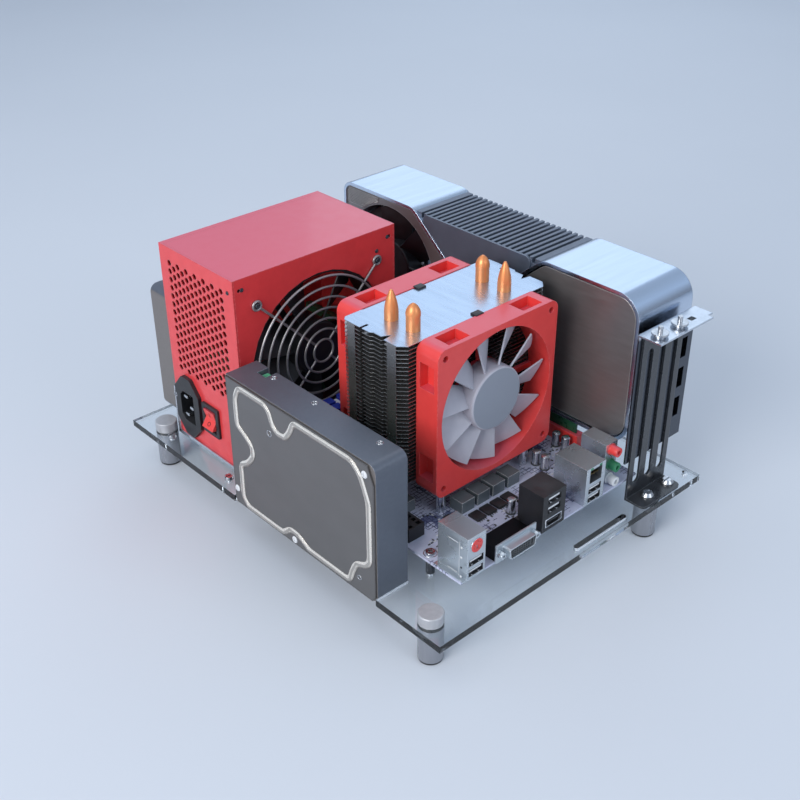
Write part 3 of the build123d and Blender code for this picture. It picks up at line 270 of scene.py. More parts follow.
cap_steel = surface("cap_steel", (0.56, 0.56, 0.58), (0.50, 0.50, 0.52), (0.42, 0.50), metallic=0.5,
                    grain=(300.0, (1, 1, 0.1)), bump=0.02, worn=(0.8, 0.8, 0.82), even=1.0, dust=0.0)
fin_black = surface("fin_black", (0.125, 0.148, 0.195), (0.135, 0.158, 0.205), (0.34, 0.44), metallic=0.5,
                    worn=(0.34, 0.40, 0.50), even=0.8, dust=0.02)
brass = surface("brass", (0.72, 0.52, 0.22), (0.6, 0.42, 0.16), (0.2, 0.3), metallic=1.0, dust=0.02)
green_board = surface("green_board", (0.012, 0.07, 0.035), (0.02, 0.10, 0.05), (0.25, 0.4),
                      grain=(350.0, (1, 1, 1)), dust=0.05)
blue_metal = surface("blue_metal", (0.03, 0.06, 0.50), (0.05, 0.09, 0.60), (0.25, 0.36), metallic=0.4,
                     dust=0.02)
leg_metal = surface("leg_metal", (0.34, 0.35, 0.38), (0.29, 0.30, 0.33), (0.26, 0.36), metallic=0.6,
                    grain=(200.0, (1, 1, 0.1)))
rubber = surface("rubber", (0.02, 0.02, 0.022), (0.03, 0.03, 0.032), (0.6, 0.8), dust=0.1)
white_plastic = surface("white_plastic", (0.78, 0.79, 0.80), (0.72, 0.73, 0.75), (0.35, 0.5), dust=0.0)
dark_red_print = surface("dark_red_print", (0.22, 0.012, 0.012), (0.18, 0.010, 0.010), (0.45, 0.55), dust=0.0)
green_plastic = surface("green_plastic", (0.03, 0.22, 0.10), (0.04, 0.26, 0.12), (0.35, 0.5), dust=0.0)
pale_green_plastic = surface("pale_green_plastic", (0.14, 0.55, 0.30), (0.17, 0.60, 0.34), (0.35, 0.5),
                             dust=0.0)


def overlay(material, mask, color):
    """Lays one more colour over a finish where a mask is bright."""
    socket = material.node_tree.nodes["Principled BSDF"].inputs["Base Color"]
    before = socket.links[0].from_socket
    material.node_tree.links.new(mix_colors(material, mask, before, color), socket)


def build_print():
    """Printed lines of a circuit board: two crossed sets of brick joints, in patches."""
    group, start, end = new_group(
        "printed_lines", {"Patch": 55.0, "Width": 0.00024}, {},
        {"Lines": "NodeSocketFloat", "Patches": "NodeSocketFloat"})
    link = group.links.new
    place = group.nodes.new("ShaderNodeTexCoord")
    noise = group.nodes.new("ShaderNodeTexNoise")
    noise.inputs["Detail"].default_value = 2.0
    link(place.outputs["Object"], noise.inputs["Vector"])
    link(start.outputs["Patch"], noise.inputs["Scale"])
    lines = []
    for turn, length, height in ((0.0, 0.013, 0.0027), (pi / 2, 0.019, 0.0036), (pi / 4, 0.011, 0.0052)):
        mapping = group.nodes.new("ShaderNodeMapping")
        mapping.inputs["Rotation"].default_value = (0.0, 0.0, turn)
        bricks = group.nodes.new("ShaderNodeTexBrick")
        bricks.offset = 0.37
        bricks.inputs["Scale"].default_value = 1.0
        bricks.inputs["Brick Width"].default_value = length
        bricks.inputs["Row Height"].default_value = height
        bricks.inputs["Mortar Smooth"].default_value = 0.1
        part = add_range(group, 0.51 + 0.04 * len(lines), 0.52 + 0.04 * len(lines))
        both = add_math(group, "MULTIPLY")
        link(place.outputs["Object"], mapping.inputs["Vector"])
        link(mapping.outputs["Vector"], bricks.inputs["Vector"])
        link(start.outputs["Width"], bricks.inputs["Mortar Size"])
        link(noise.outputs["Fac"], part.inputs["Value"])
        link(bricks.outputs["Fac"], both.inputs[0])
        link(part.outputs["Result"], both.inputs[1])
        lines.append(both.outputs[0])
    first = add_math(group, "MAXIMUM")
    second = add_math(group, "MAXIMUM")
    link(lines[0], first.inputs[0])
    link(lines[1], first.inputs[1])
    link(first.outputs[0], second.inputs[0])
    link(lines[2], second.inputs[1])
    link(second.outputs[0], end.inputs["Lines"])
    dark = add_range(group, 0.655, 0.66)
    link(noise.outputs["Fac"], dark.inputs["Value"])
    link(dark.outputs["Result"], end.inputs["Patches"])
    return group


def build_white_board():
    """Pale lilac board with dark blue lines and patches printed on it."""
    material = surface("white_board", (0.60, 0.63, 0.78), (0.52, 0.55, 0.70), (0.25, 0.36),
                       grain=(140.0, (1, 1, 1)), bump=0.01, dust=0.03)
    marks = place_group(material, print_group)
    overlay(material, marks.outputs["Patches"], (0.17, 0.19, 0.32))
    overlay(material, marks.outputs["Lines"], (0.06, 0.07, 0.16))
    return material


def where(material, output, axis, first, last):
    """A mask from a coordinate or a normal: black at the first value, white at the last."""
    tree = material.node_tree
    kind = "ShaderNodeNewGeometry" if output == "Normal" else "ShaderNodeTexCoord"
    source = tree.nodes.new(kind)
    split = tree.nodes.new("ShaderNodeSeparateXYZ")
    mask = add_range(tree, first, last)
    tree.links.new(source.outputs[output], split.inputs[0])
    tree.links.new(split.outputs[axis], mask.inputs["Value"])
    return mask.outputs["Result"]


def build_bracket_steel():
    """Bright folded tab above, and a darker face that mirrors the shade below."""
    material = surface("bracket_steel", (0.62, 0.66, 0.72), (0.56, 0.60, 0.66), (0.18, 0.28), metallic=0.95,
                       grain=(80.0, (1, 1, 0.3)), bump=0.008, edge=0.0004, dust=0.02)
    # painted reflection: the face below the tab is darkened
    overlay(material, where(material, "Object", "Z", 0.1555, 0.1535), (0.085, 0.095, 0.115))
    return material


def build_cover_steel(name, axis, level):
    """Satin pressed steel, with painted shade along the foot of its ribs and a painted highlight where they
    rise past a level.
    """
    material = surface(name, (0.185, 0.178, 0.175), (0.175, 0.168, 0.165), (0.30, 0.35), metallic=0.75,
                       grain=(60.0, (1, 0.5, 1)), bump=0.003, edge=0.0006, worn=(0.6, 0.58, 0.55), even=1.0,
                       dust=0.02)
    # painted shade: a dark tint on the plane beside each rib foot
    foot = place_group(material, edge_group, Radius=0.0022, Evenness=1.0)
    overlay(material, foot.outputs["Mask"], (0.12, 0.11, 0.105))
    # painted highlight: a pale tint on the rib top past the level
    overlay(material, where(material, "Object", axis, level, level * 1.0024), (0.50, 0.47, 0.43))
    return material


def build_red(name, color, shade, up, **values):
    """A red finish with a painted sky reflection: a cooler, paler red on what faces up."""
    material = surface(name, color, shade, dust=0.03, bump=0.02, **values)
    # painted reflection of the sky on up-facing faces
    overlay(material, where(material, "Normal", "Z", 0.8, 0.97), up)
    return material


def build_drive_alloy():
    """Cold grey casting, with painted warm light on the sides that face the left lamp."""
    material = surface("cast_alloy", (0.125, 0.142, 0.175), (0.14, 0.157, 0.19), (0.36, 0.44), metallic=0.5,
                       grain=(400.0, (1, 1, 1)), bump=0.03, edge=0.0006, worn=(0.42, 0.45, 0.50), even=0.6,
                       dust=0.03)
    # painted light: a warmer, paler tint on faces toward the left lamp
    overlay(material, where(material, "Normal", "X", -0.9, -0.97), (0.215, 0.195, 0.185))
    return material


def build_rib_steel():
    """Bead painted as a pale cream highlight above, with painted shade on the side that faces down."""
    # the pale cream base colour is a painted highlight
    material = surface("rib_steel", (0.95, 0.89, 0.80), (0.90, 0.84, 0.75), (0.24, 0.30), metallic=0.75,
                       bump=0.003, dust=0.0)
    # painted shade on the downward side of the bead
    overlay(material, where(material, "Normal", "Z", -0.04, -0.26), (0.27, 0.245, 0.22))
    return material


def build_rotor_plastic():
    """Pale blades and a hub whose flat front is a shade deeper."""
    material = surface("rotor_plastic", (0.50, 0.50, 0.56), (0.46, 0.46, 0.52), (0.40, 0.5), edge=0.0005,
                       bump=0.02, dust=0.03)
    overlay(material, where(material, "Normal", "Y", -0.95, -0.985), (0.29, 0.315, 0.37))
    return material


def build_fin_stack():
    """Bright top fin, and painted shade in a darker neutral tone on the fins under it."""
    material = surface("fin_stack", (0.50, 0.60, 0.74), (0.47, 0.57, 0.71), (0.24, 0.29), metallic=0.9,
                       grain=(70.0, (4, 0.4, 1)), bump=0.004, edge=0.0002, dust=0.02)
    top = max(corner[2] for corner in nodes["cooler_fins"].bound_box)
    # painted shade on the fins under the top one
    overlay(material, where(material, "Object", "Z", top - 0.0002, top - 0.0004), (0.36, 0.355, 0.35))
    return material


def build_video_steel():
    """Bright shell of the video socket, and its black body behind the flange."""
    material = surface("video_steel", (0.60, 0.65, 0.69), (0.585, 0.635, 0.675), (0.26, 0.32), metallic=0.85,
                       grain=(60.0, (0.2, 1, 1)), bump=0.006, edge=0.0004, worn=(0.9, 0.94, 0.98), even=1.0,
                       dust=0.01)
    overlay(material, where(material, "Object", "Y", -0.1490, -0.1488), (0.012, 0.012, 0.014))
    return material


print_group = build_print()
cover_steel = build_cover_steel("cover_steel", "X", -0.12765)
rear_cover_steel = build_cover_steel("rear_cover_steel", "Y", 0.16465)
white_board = build_white_board()
bracket_steel = build_bracket_steel()
cast_alloy = build_drive_alloy()
# The third colour of each red is its painted sky reflection on what faces up.
red_paint = build_red("red_paint", (0.74, 0.052, 0.056), (0.68, 0.045, 0.049), (0.74, 0.115, 0.165),
                      rough=(0.30, 0.38), edge=0.0009, worn=(0.85, 0.20, 0.20), coat=0.3)
red_plastic = build_red("red_plastic", (0.82, 0.062, 0.056), (0.77, 0.054, 0.050), (0.76, 0.095, 0.125),
                        rough=(0.32, 0.40), edge=0.0006, worn=(0.9, 0.24, 0.22), coat=0.15)
rib_steel = build_rib_steel()
rotor_plastic = build_rotor_plastic()
fin_stack = build_fin_stack()
video_steel = build_video_steel()


def build_clear_sheet():
    """Clear plate: colourless through its faces, pale blue where an edge gathers light."""
    material = surface("clear_sheet", (0.93, 0.965, 0.985), (0.90, 0.945, 0.975), (0.01, 0.03), bump=0.003,
                       edge=0.0006, worn=(0.97, 0.99, 1.0), dust=0.0)
    tree = material.node_tree
    shader = tree.nodes["Principled BSDF"]
    shader.inputs["Transmission Weight"].default_value = 1.0
    shader.inputs["IOR"].default_value = 1.49
    see_through = tree.nodes.new("ShaderNodeBsdfTransparent")
    see_through.inputs["Color"].default_value = (0.88, 0.93, 0.96, 1.0)
    rays = tree.nodes.new("ShaderNodeLightPath")
    mix = tree.nodes.new("ShaderNodeMixShader")
    output = tree.nodes["Material Output"]
    tree.links.new(rays.outputs["Is Shadow Ray"], mix.inputs["Fac"])
    tree.links.new(shader.outputs["BSDF"], mix.inputs[1])
    tree.links.new(see_through.outputs["BSDF"], mix.inputs[2])
    tree.links.new(mix.outputs["Shader"], output.inputs["Surface"])
    return material


clear_sheet = build_clear_sheet()

finishes = {
    clear_sheet: ["base_plate"],
    leg_metal: ["legs"],
    rubber: ["leg_feet"],
    cap_steel: ["leg_caps"],
    fin_black: ["card_fins_top", "card_fins_bottom", "card_fins_far"],
    video_steel: ["video_socket"],
    bright_steel: ["board_screws", "plate_screws", "card_support_screws", "card_studs", "capacitors"],
    bracket_steel: ["card_bracket"],
    black_steel: ["card_support"],
    red_paint: ["psu_chassis", "psu_cover"],
    chrome: ["psu_bracket", "psu_fan_guard", "drive_brackets", "cpu_socket", "cooler_base"],
    shell_steel: ["keyboard_usb_block", "lan_usb_block", "audio_block"],
    green_board: ["psu_board", "drive_a_board", "drive_b_board", "card_board"],
    red_plastic: ["front_fan_frame", "rear_fan_frame", "psu_switch_rocker", "card_slot", "audio_jacks"],
    rotor_plastic: ["front_fan_rotor", "rear_fan_rotor"],
    black_plastic: ["psu_fan_frame", "psu_fan_rotor", "psu_inlet", "psu_switch_frame", "hdmi_usb_block",
                    "memory_slots", "board_power_sockets", "card_shroud_near", "card_rotor_far",
                    "card_rotor_near"],
    choke_case: ["power_chokes"],
    cast_alloy: ["drive_a_body", "drive_b_body"],
    cover_steel: ["drive_a_cover"],
    rear_cover_steel: ["drive_b_cover"],
    white_board: ["main_board"],
    blue_metal: ["memory_modules"],
    fin_stack: ["cooler_fins"],
    copper: ["cooler_pipes"],
    satin_chrome: ["card_frame"],
    black_metal: ["card_heatsink", "board_standoffs"],
    dark_metal: ["card_plate", "card_fan_plate"],
}
for material, names in finishes.items():
    for name in names:
        mesh = nodes[name].data
        mesh.materials.clear()
        mesh.materials.append(material)


# Making pieces

def deselect():
    """Object mode, with nothing selected."""
    if bpy.context.mode != "OBJECT":
        bpy.ops.object.mode_set(mode="OBJECT")
    bpy.ops.object.select_all(action="DESELECT")


def pick(piece):
    """Selects one object alone."""
    deselect()
    piece.select_set(True)
    bpy.context.view_layer.objects.active = piece


def settle(piece):
    """Puts the place, turn and size of an object into its mesh."""
    pick(piece)
    bpy.ops.object.transform_apply(location=True, rotation=True, scale=True)
    return piece


def apply_modifiers(piece):
    """Turns every modifier of a piece into mesh."""
    pick(piece)
    for modifier in list(piece.modifiers):
        bpy.ops.object.modifier_apply(modifier=modifier.name)
    return piece


def round_edges(piece, width, segments, sharper_than=None):
    """Bevels the edges of a piece; with an angle, only the sharper ones."""
    modifier = piece.modifiers.new("rounding", "BEVEL")
    modifier.width = width * MM
    modifier.segments = segments
    if sharper_than:
        modifier.limit_method = "ANGLE"
        modifier.angle_limit = radians(sharper_than)
    apply_modifiers(piece)


def block(low, high, round_edge=0.0, segments=2):
    """A block between two corners in millimetres, with its edges rounded."""
    deselect()
    middle = [(a + b) / 2 * MM for a, b in zip(low, high)]
    bpy.ops.mesh.primitive_cube_add(size=1, location=middle)
    piece = bpy.context.active_object
    piece.scale = [abs(b - a) * MM for a, b in zip(low, high)]
    settle(piece)
    if round_edge > 0:
        round_edges(piece, round_edge, segments)
    return piece


def turn_to(axis):
    """Euler turn that brings +Z onto a direction."""
    return Vector(axis).to_track_quat("Z", "Y").to_euler()


def rod(center, axis, radius, length, sides=24, tip=None, round_edge=0.0):
    """A round bar centred on a point, along an axis; tip is its end radius."""
    deselect()
    bpy.ops.mesh.primitive_cone_add(
        vertices=sides, radius1=radius * MM, radius2=(radius if tip is None else tip) * MM, depth=length * MM,
        location=[c * MM for c in center], rotation=turn_to(axis))
    piece = bpy.context.active_object
    settle(piece)
    if round_edge > 0:
        round_edges(piece, round_edge, 2, 40)
    return piece


def hoop(center, axis, radius, wire, turns=48, sides=8):
    """A closed ring of round wire."""
    deselect()
    bpy.ops.mesh.primitive_torus_add(
        major_radius=radius * MM, minor_radius=wire * MM, major_segments=turns, minor_segments=sides,
        location=[c * MM for c in center], rotation=turn_to(axis))
    return settle(bpy.context.active_object)


def sink_face(piece, direction, margin, depth):
    """Insets the faces that look one way and pushes them in, as a recess."""
    pick(piece)
    wanted = Vector(direction)
    reach = max((wanted.dot(p.center) for p in piece.data.polygons if p.normal.dot(wanted) > 0.98), default=0)
    bpy.ops.object.mode_set(mode="EDIT")
    bpy.ops.mesh.select_mode(type="FACE")
    bpy.ops.mesh.select_all(action="DESELECT")
    bpy.ops.object.mode_set(mode="OBJECT")
    for face in piece.data.polygons:
        face.select = face.normal.dot(wanted) > 0.98 and wanted.dot(face.center) > reach - 0.00001
    bpy.ops.object.mode_set(mode="EDIT")
    bpy.ops.mesh.inset(thickness=margin * MM, depth=0)
    bpy.ops.mesh.inset(thickness=0.0001 * MM, depth=-depth * MM)
    bpy.ops.object.mode_set(mode="OBJECT")
    return piece


def cut_out(piece, cutters):
    """Takes other solids away from a piece."""
    for cutter in cutters:
        modifier = piece.modifiers.new("cut", "BOOLEAN")
        modifier.operation = "DIFFERENCE"
        modifier.solver = "EXACT"
        modifier.object = cutter
        apply_modifiers(piece)
        bpy.data.objects.remove(cutter)
    return piece


def joined(parts, name):
    """One object from several, with its name on the mesh too."""
    deselect()
    for part in parts:
        part.select_set(True)
    bpy.context.view_layer.objects.active = parts[0]
    if len(parts) > 1:
        bpy.ops.object.join()
    piece = bpy.context.active_object
    piece.name = name
    piece.data.name = name
    return piece


def finish_piece(parts, name, material, body="bench", smooth=40):
    """Joins parts, smooths what is round, and gives the piece its finish and body."""
    piece = joined(parts, name)
    piece.data.materials.clear()
    piece.data.materials.append(material)
    for face in piece.data.polygons:
        face.material_index = 0
    if smooth:
        pick(piece)
        bpy.ops.object.shade_smooth_by_angle(angle=radians(smooth))
    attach(piece, body)
    return piece


# Power supply: wire guard, cover screws and rocker marks

fan_x, fan_z = -39.0, 107.0
guard_y = 42.6
guard_first_ring = 8.6
guard_pitch = 7.9
guard_wire = 0.85
hook_reach = 52.5
hook_radius = 3.1
four_ways = [(-1, -1), (-1, 1), (1, -1), (1, 1)]


def build_guard():
    """Seven rings, four spokes behind them, and an eye at the end of each spoke."""
    parts = []
    for ring in range(7):
        radius = guard_first_ring + ring * guard_pitch
        parts.append(hoop((fan_x, guard_y, fan_z), (0, 1, 0), radius, guard_wire, 72, 8))
    for side, up in four_ways:
        spoke_ends = [Vector((fan_x + side * reach, guard_y + 1.0, fan_z + up * reach))
                      for reach in (6.3, hook_reach - 2.2)]
        along = spoke_ends[1] - spoke_ends[0]
        parts.append(rod((spoke_ends[0] + spoke_ends[1]) / 2, along, 0.9, along.length, 10))
        eye = (fan_x + side * hook_reach, guard_y + 1.4, fan_z + up * hook_reach)
        parts.append(hoop(eye, (0, 1, 0), hook_radius, 0.95, 28, 8))
    guard = finish_piece(parts, "fan_guard", wire_steel)
    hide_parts("psu_fan_guard")


def screw_head(center, axis, radius, height, drive="cross"):
    """Domed screw head with a cross or a slot cut into it."""
    direction = Vector(axis).normalized()
    head = rod(Vector(center) + direction * height / 2, axis, radius, height, 24, radius * 0.72, height * 0.3)
    turn = direction.to_track_quat("Z", "Y").to_euler()
    cutters = []
    for angle in ((0, 90) if drive == "cross" else (35,)):
        deselect()
        bpy.ops.mesh.primitive_cube_add(size=1)
        bar = bpy.context.active_object
        width = radius * (1.15 if drive == "cross" else 2.4)
        bar.scale = (width * MM, radius * 0.24 * MM, height * 0.9 * MM)
        settle(bar)
        spin = Matrix.Rotation(radians(angle), 4, "Z")
        top = Matrix.Translation((Vector(center) + direction * height) * MM)
        bar.data.transform(top @ turn.to_matrix().to_4x4() @ spin)
        cutters.append(bar)
    return cut_out(head, cutters)


def build_supply_trim():
    """Screws of the guard, the cover and the bracket."""
    screws = [screw_head((fan_x + side * hook_reach, 43.4, fan_z + up * hook_reach), (0, -1, 0), 2.1, 0.9)
              for up, side in four_ways]
    finish_piece(screws, "guard_screws", black_metal)
    front_places = ((24.0, 174.0), (24.0, 84.0), (-102.0, 174.0), (-102.0, 84.0), (14.0, 166.0))
    side_places = ((51.0, 172.0), (51.0, 42.0))
    small = [screw_head((x, 44.9, z), (0, -1, 0), 1.6, 0.6) for x, z in front_places]
    small += [screw_head((-109.0, y, z), (-1, 0, 0), 1.6, 0.6) for y, z in side_places]
    finish_piece(small, "cover_screws", black_metal)
    holder = [screw_head((-110.5, 127.1, 64.0), (-1, 0, 0), 3.1, 1.6)]
    finish_piece(holder, "bracket_screw", bright_steel)


rocker_pivot = (-104.0, 85.0, 59.5)
rocker_rest_tilt = 9.0
rocker_face_lean = 23.2


def turned_about(point, angle):
    """A turn about the Y direction through a point in millimetres."""
    place = Matrix.Translation(Vector(point) * MM)
    return place @ Matrix.Rotation(radians(angle), 4, "Y") @ place.inverted()


def build_rocker_marks():
    """The bar and ring that show on and off, printed on the rocker's two faces."""
    upper, lower = (-111.7, 85.0, 63.0), (-111.7, 85.0, 56.0)
    bar = block((-111.85, 84.55, 61.3), (-111.4, 85.45, 64.7), 0.1)
    ring = hoop(lower, (1, 0, 0), 1.35, 0.32, 24, 6)
    for part, middle, angle in ((bar, upper, -rocker_face_lean), (ring, lower, rocker_face_lean)):
        part.data.transform(turned_about(rocker_pivot, rocker_rest_tilt) @ turned_about(middle, angle))
    finish_piece([bar, ring], "rocker_marks", dark_red_print, "rocker")


def build_inlet_pins():
    """Three flat pins inside the mains inlet."""
    pins = []
    half_width, half_height = 2.2, 1.2
    for y, z in ((115, 66.5), (108.5, 59), (115, 51.5)):
        pins.append(block((-111.2, y - half_width, z - half_height), (-96.0, y + half_width, z + half_height),
                          0.5))
    finish_piece(pins, "inlet_pins", bright_steel)


build_guard()
build_supply_trim()
build_rocker_marks()
build_inlet_pins()


# Mainboard: what fills the sockets, and the small parts

board_top = 44.0
part_foot = 44.02
port_y = -149.4
usb_ports = [(-79.8, 45.6), (-79.8, 53.4), (-9.2, 64.4), (-9.2, 57.0), (31.5, 45.4), (31.5, 52.4)]


def build_usb_linings():
    """Black mouths, pale tongues and the bright springs of the stacked sockets."""
    linings, tongues, springs = [], [], []
    for x, z in usb_ports:
        lining = block((x - 6.2, port_y + 0.05, z + 0.05), (x + 6.2, port_y + 8.8, z + 5.35))
        linings.append(sink_face(lining, (0, -1, 0), 0.3, 8.2))
        tongues.append(block((x - 5.3, port_y + 0.6, z + 2.8), (x + 5.3, port_y + 8.8, z + 5.0), 0.25))
        for step in range(4):
            along = x - 3.6 + step * 2.4
            springs.append(block((along - 0.5, port_y + 0.9, z + 2.65), (along + 0.5, port_y + 8.0, z + 2.85),
                                 0.08))
        for side in (-1, 1):
            along = x + side * 3.0
            springs.append(block((along - 0.8, port_y + 0.2, z + 0.3), (along + 0.8, port_y + 5.0, z + 0.75),
                                 0.15))
    finish_piece(linings, "usb_linings", black_plastic)
    finish_piece(tongues, "usb_tongues", white_plastic)
    finish_piece(springs, "usb_springs", bright_steel)


def build_keyboard_port():
    """Red round socket with six pin holes and a key."""
    x, z = -79.8, 67.6
    disc = rod((x, port_y - 0.1, z), (0, -1, 0), 4.75, 1.0, 40, round_edge=0.2)
    cutters = []
    for angle in (30, 75, 150, 210, 285, 330):
        hole = (x + 2.9 * cos(radians(angle)), port_y - 0.2, z + 2.9 * sin(radians(angle)))
        cutters.append(rod(hole, (0, 1, 0), 0.5, 3, 10))
    cutters.append(block((x - 0.8, port_y - 2, z - 2.2), (x + 0.8, port_y + 2, z + 0.4)))
    finish_piece([cut_out(disc, cutters)], "keyboard_port", red_plastic)
    rim = hoop((x, port_y - 0.1, z), (0, 1, 0), 4.95, 0.28, 40, 8)
    finish_piece([rim], "keyboard_port_rim", shell_steel)


def build_video_pins():
    """Pin grid inside the shell, and the hexagon posts beside it."""
    insert = block((-56.8, -156.5, 49.0), (-35.2, -151.5, 54.8), 0.3)
    cutters = []
    for column in range(8):
        for row in range(3):
            x = -54.9 + column * 2.1
            z = 50.2 + row * 1.75
            cutters.append(block((x - 0.55, -158, z - 0.5), (x + 0.55, -155.4, z + 0.5)))
    cutters.append(block((-37.9, -158, 49.9), (-36.7, -155.4, 54.0)))
    pins = cut_out(insert, [joined(cutters, "pin_holes")])
    finish_piece([pins], "video_pins", dark_plastic)
    posts = []
    for x in (-61.4, -30.6):
        post = rod((x, -153.2, 52.0), (0, -1, 0), 2.7, 4.4, 6, round_edge=0.3)
        posts.append(sink_face(post, (0, -1, 0), 1.2, 2.5))
    finish_piece(posts, "video_posts", shell_steel, smooth=30)


def build_display_rim():
    """Bright rim of the flat display socket, and its tongue."""
    rim = block((-17.1, port_y - 0.35, 46.9), (-1.3, port_y + 0.4, 53.4), 0.9, 3)
    hole = block((-16.4, port_y - 2, 47.6), (-2.0, port_y + 2, 52.7), 0.8, 3)
    finish_piece([cut_out(rim, [hole])], "display_rim", chrome)
    tongue = block((-14.6, port_y + 0.4, 49.5), (-3.8, port_y + 8.8, 51.3), 0.25)
    finish_piece([tongue], "display_tongue", black_plastic)


def build_network_port():
    """Lining, eight gold wires and two small lamps of the network socket."""
    lining = block((25.55, port_y + 0.05, 60.65), (37.45, port_y + 10.0, 70.95))
    finish_piece([sink_face(lining, (0, -1, 0), 0.3, 9.6)], "network_lining", dark_plastic)
    contacts = []
    for step in range(8):
        x = 27.9 + step * 1.02
        wire = block((x - 0.2, port_y + 1.2, 66.6), (x + 0.2, port_y + 8.0, 67.0))
        contacts.append(wire)
    finish_piece(contacts, "network_contacts", brass)
    lamps = [block((x0, port_y - 0.15, 71.15), (x0 + 2.8, port_y + 0.6, 72.7), 0.2) for x0 in (25.6, 34.6)]
    finish_piece(lamps, "network_lamps", green_plastic)


def build_audio_jacks():
    """Three coloured barrels, each with its hole and a shoulder."""
    jacks = (("audio_jack_upper", 71.0, red_plastic), ("audio_jack_middle", 59.0, green_plastic),
             ("audio_jack_lower", 47.5, white_plastic))
    for name, z, material in jacks:
        barrel = rod((56.0, -145.25, z), (0, -1, 0), 3.5, 6.5, 40, round_edge=0.35)
        barrel = sink_face(barrel, (0, -1, 0), 1.45, 5.6)
        collar = rod((56.0, -142.3, z), (0, -1, 0), 4.2, 0.6, 40, round_edge=0.15)
        piece = finish_piece([barrel, collar], name, material)
        if name == "audio_jack_upper":
            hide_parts("audio_jacks")


def seeded(number):
    """The same scatter of values on each run."""
    value = sin(number * 12.9898) * 43758.5453
    return value - int(value) if value > 0 else value - int(value) + 1


def build_small_parts():
    """Chips with leads, and rows of tiny resistors and ceramic blocks."""
    chips, leads, tiny_dark, tiny_pale = [], [], [], []
    chip_places = [(-52, -108, 5, 6), (-52, -98, 5, 6), (12, -118, 7, 7), (48, -112, 6, 8), (44, -76, 9, 9),
                   (-57, -128, 5, 4), (-22, -129, 8, 4), (10, -133, 5, 5), (66, -112, 5, 7), (-4, -117, 5, 3),
                   (50, -60, 14, 14), (46, -30, 16, 16)]
    for x, y, wide, deep in chip_places:
        chips.append(block((x - wide / 2, y - deep / 2, 44.15), (x + wide / 2, y + deep / 2, 45.5), 0.25))
        for step in range(int(wide / 1.2)):
            along = x - wide / 2 + 0.6 + step * 1.2
            for side in (-1, 1):
                far = y + side * (deep / 2 + 0.5)
                leads.append(block((along - 0.22, far - 0.55, part_foot),
                                   (along + 0.22, far + 0.55, 44.5), 0.08, 1))
    zones = [(-62, 44, -134, -114), (28, 66, -120, -84), (-62, -46, -112, -84), (36, 66, -70, 0),
             (-86, -70, -118, -104)]
    count = 0
    for left, right, low, high in zones:
        total = int((right - left) * (high - low) / 22)
        for step in range(total):
            count += 1
            x = left + (right - left) * seeded(count * 3.1)
            y = low + (high - low) * seeded(count * 7.7 + 1)
            x = round(x / 2.5) * 2.5
            y = round(y / 1.6) * 1.6
            long_way = seeded(count * 1.7) > 0.5
            half = (0.9, 0.45) if long_way else (0.45, 0.9)
            part = block((x - half[0], y - half[1], part_foot), (x + half[0], y + half[1], 44.6), 0.08, 1)
            (tiny_dark if seeded(count * 5.3) > 0.45 else tiny_pale).append(part)
    finish_piece(chips, "board_chips", black_plastic)
    finish_piece(leads, "chip_leads", bright_steel)
    finish_piece(tiny_dark, "board_resistors", dark_plastic)
    finish_piece(tiny_pale, "board_ceramics", white_plastic)
    pads = [hoop((x, y, board_top), (0, 0, 1), 4.3, 0.35, 32, 6)
            for x in (-85.15, 72.33) for y in (-115.18, 16.9)]
    finish_piece(pads, "board_pads", bright_steel)


def build_capacitor_tops():
    """Flat top discs, and dark bases and rings of the upright capacitors."""
    bases, tops = [], []
    places = ((64.5, -88), (64.5, -96.5), (36.5, -94), (36.5, -102), (-17.5, -120.5), (18, -76), (26, -76))
    for x, y in places:
        bases.append(rod((x, y, 44.6), (0, 0, 1), 3.45, 1.2, 28, round_edge=0.2))
        bases.append(hoop((x, y, 53.9), (0, 0, 1), 2.9, 0.22, 28, 6))
        tops.append(rod((x, y, 55.02), (0, 0, 1), 2.3, 0.16, 28, round_edge=0.05))
    finish_piece(bases, "capacitor_rings", dark_plastic)
    finish_piece(tops, "capacitor_tops", shell_steel)


build_usb_linings()
build_keyboard_port()
build_video_pins()
build_display_rim()
build_network_port()
build_audio_jacks()
build_small_parts()
build_capacitor_tops()


# Disk drives: cover screws, pressed rings, rims of the tapped holes, green socket

drive_height = 101.6
drive_frames = {
    "drive_a": Matrix.Translation(Vector((-127.1, -111.5, 24.0)) * MM),
    "drive_b": Matrix.Translation(Vector((-102.0, 164.1, 35.0)) * MM) @ Matrix.Rotation(radians(-90), 4, "Z"),
}


def build_drive_trim():
    """Built once in the drive's own frame for each drive, then put in its place."""
    dome_places = ((8.5, 93.5), (143.2, 13.0), (80.5, 4.4))
    ring_places = ((101.0, 77.5, 2.2), (15.5, 12.5, 1.6))
    hole_places, hole_x = (18, 79, 121), 20.5
    for name, place in drive_frames.items():
        domes = [screw_head((0.02, y, z), (-1, 0, 0), 2.7, 0.86) for y, z in dome_places]
        rings = [hoop((0.0, y, z), (1, 0, 0), radius, 0.3, 28, 6) for y, z, radius in ring_places]
        rims = [hoop((hole_x, y, drive_height), (0, 0, 1), 1.95, 0.3, 24, 6) for y in hole_places]
        wells = [rod((hole_x, y, drive_height - 1.0), (0, 0, 1), 1.6, 1.4, 20) for y in hole_places]
        wells = [sink_face(well, (0, 0, 1), 0.35, 0.9) for well in wells]
        socket = block((18.3, 126.0, 92.8), (24.6, 133.0, 98.8), 0.4)
        for number in range(4):
            left = 19.3 + number * 1.3
            socket = cut_out(socket, [block((left, 127.2, 96.5), (left + 0.7, 131.8, 100.0))])
        for parts, title, material, slot in (
                (domes, "cover_domes", white_plastic, "bright_steel"),
                (rings, "pressed_rings", bright_steel, "cast_alloy"),
                (rims + wells, "hole_rims", bright_steel, "bright_steel"),
                ([socket], "socket", pale_green_plastic, "jack_plastic")):
            for part in parts:
                part.data.transform(place)
            finish_piece(parts, name + "_" + title, material)


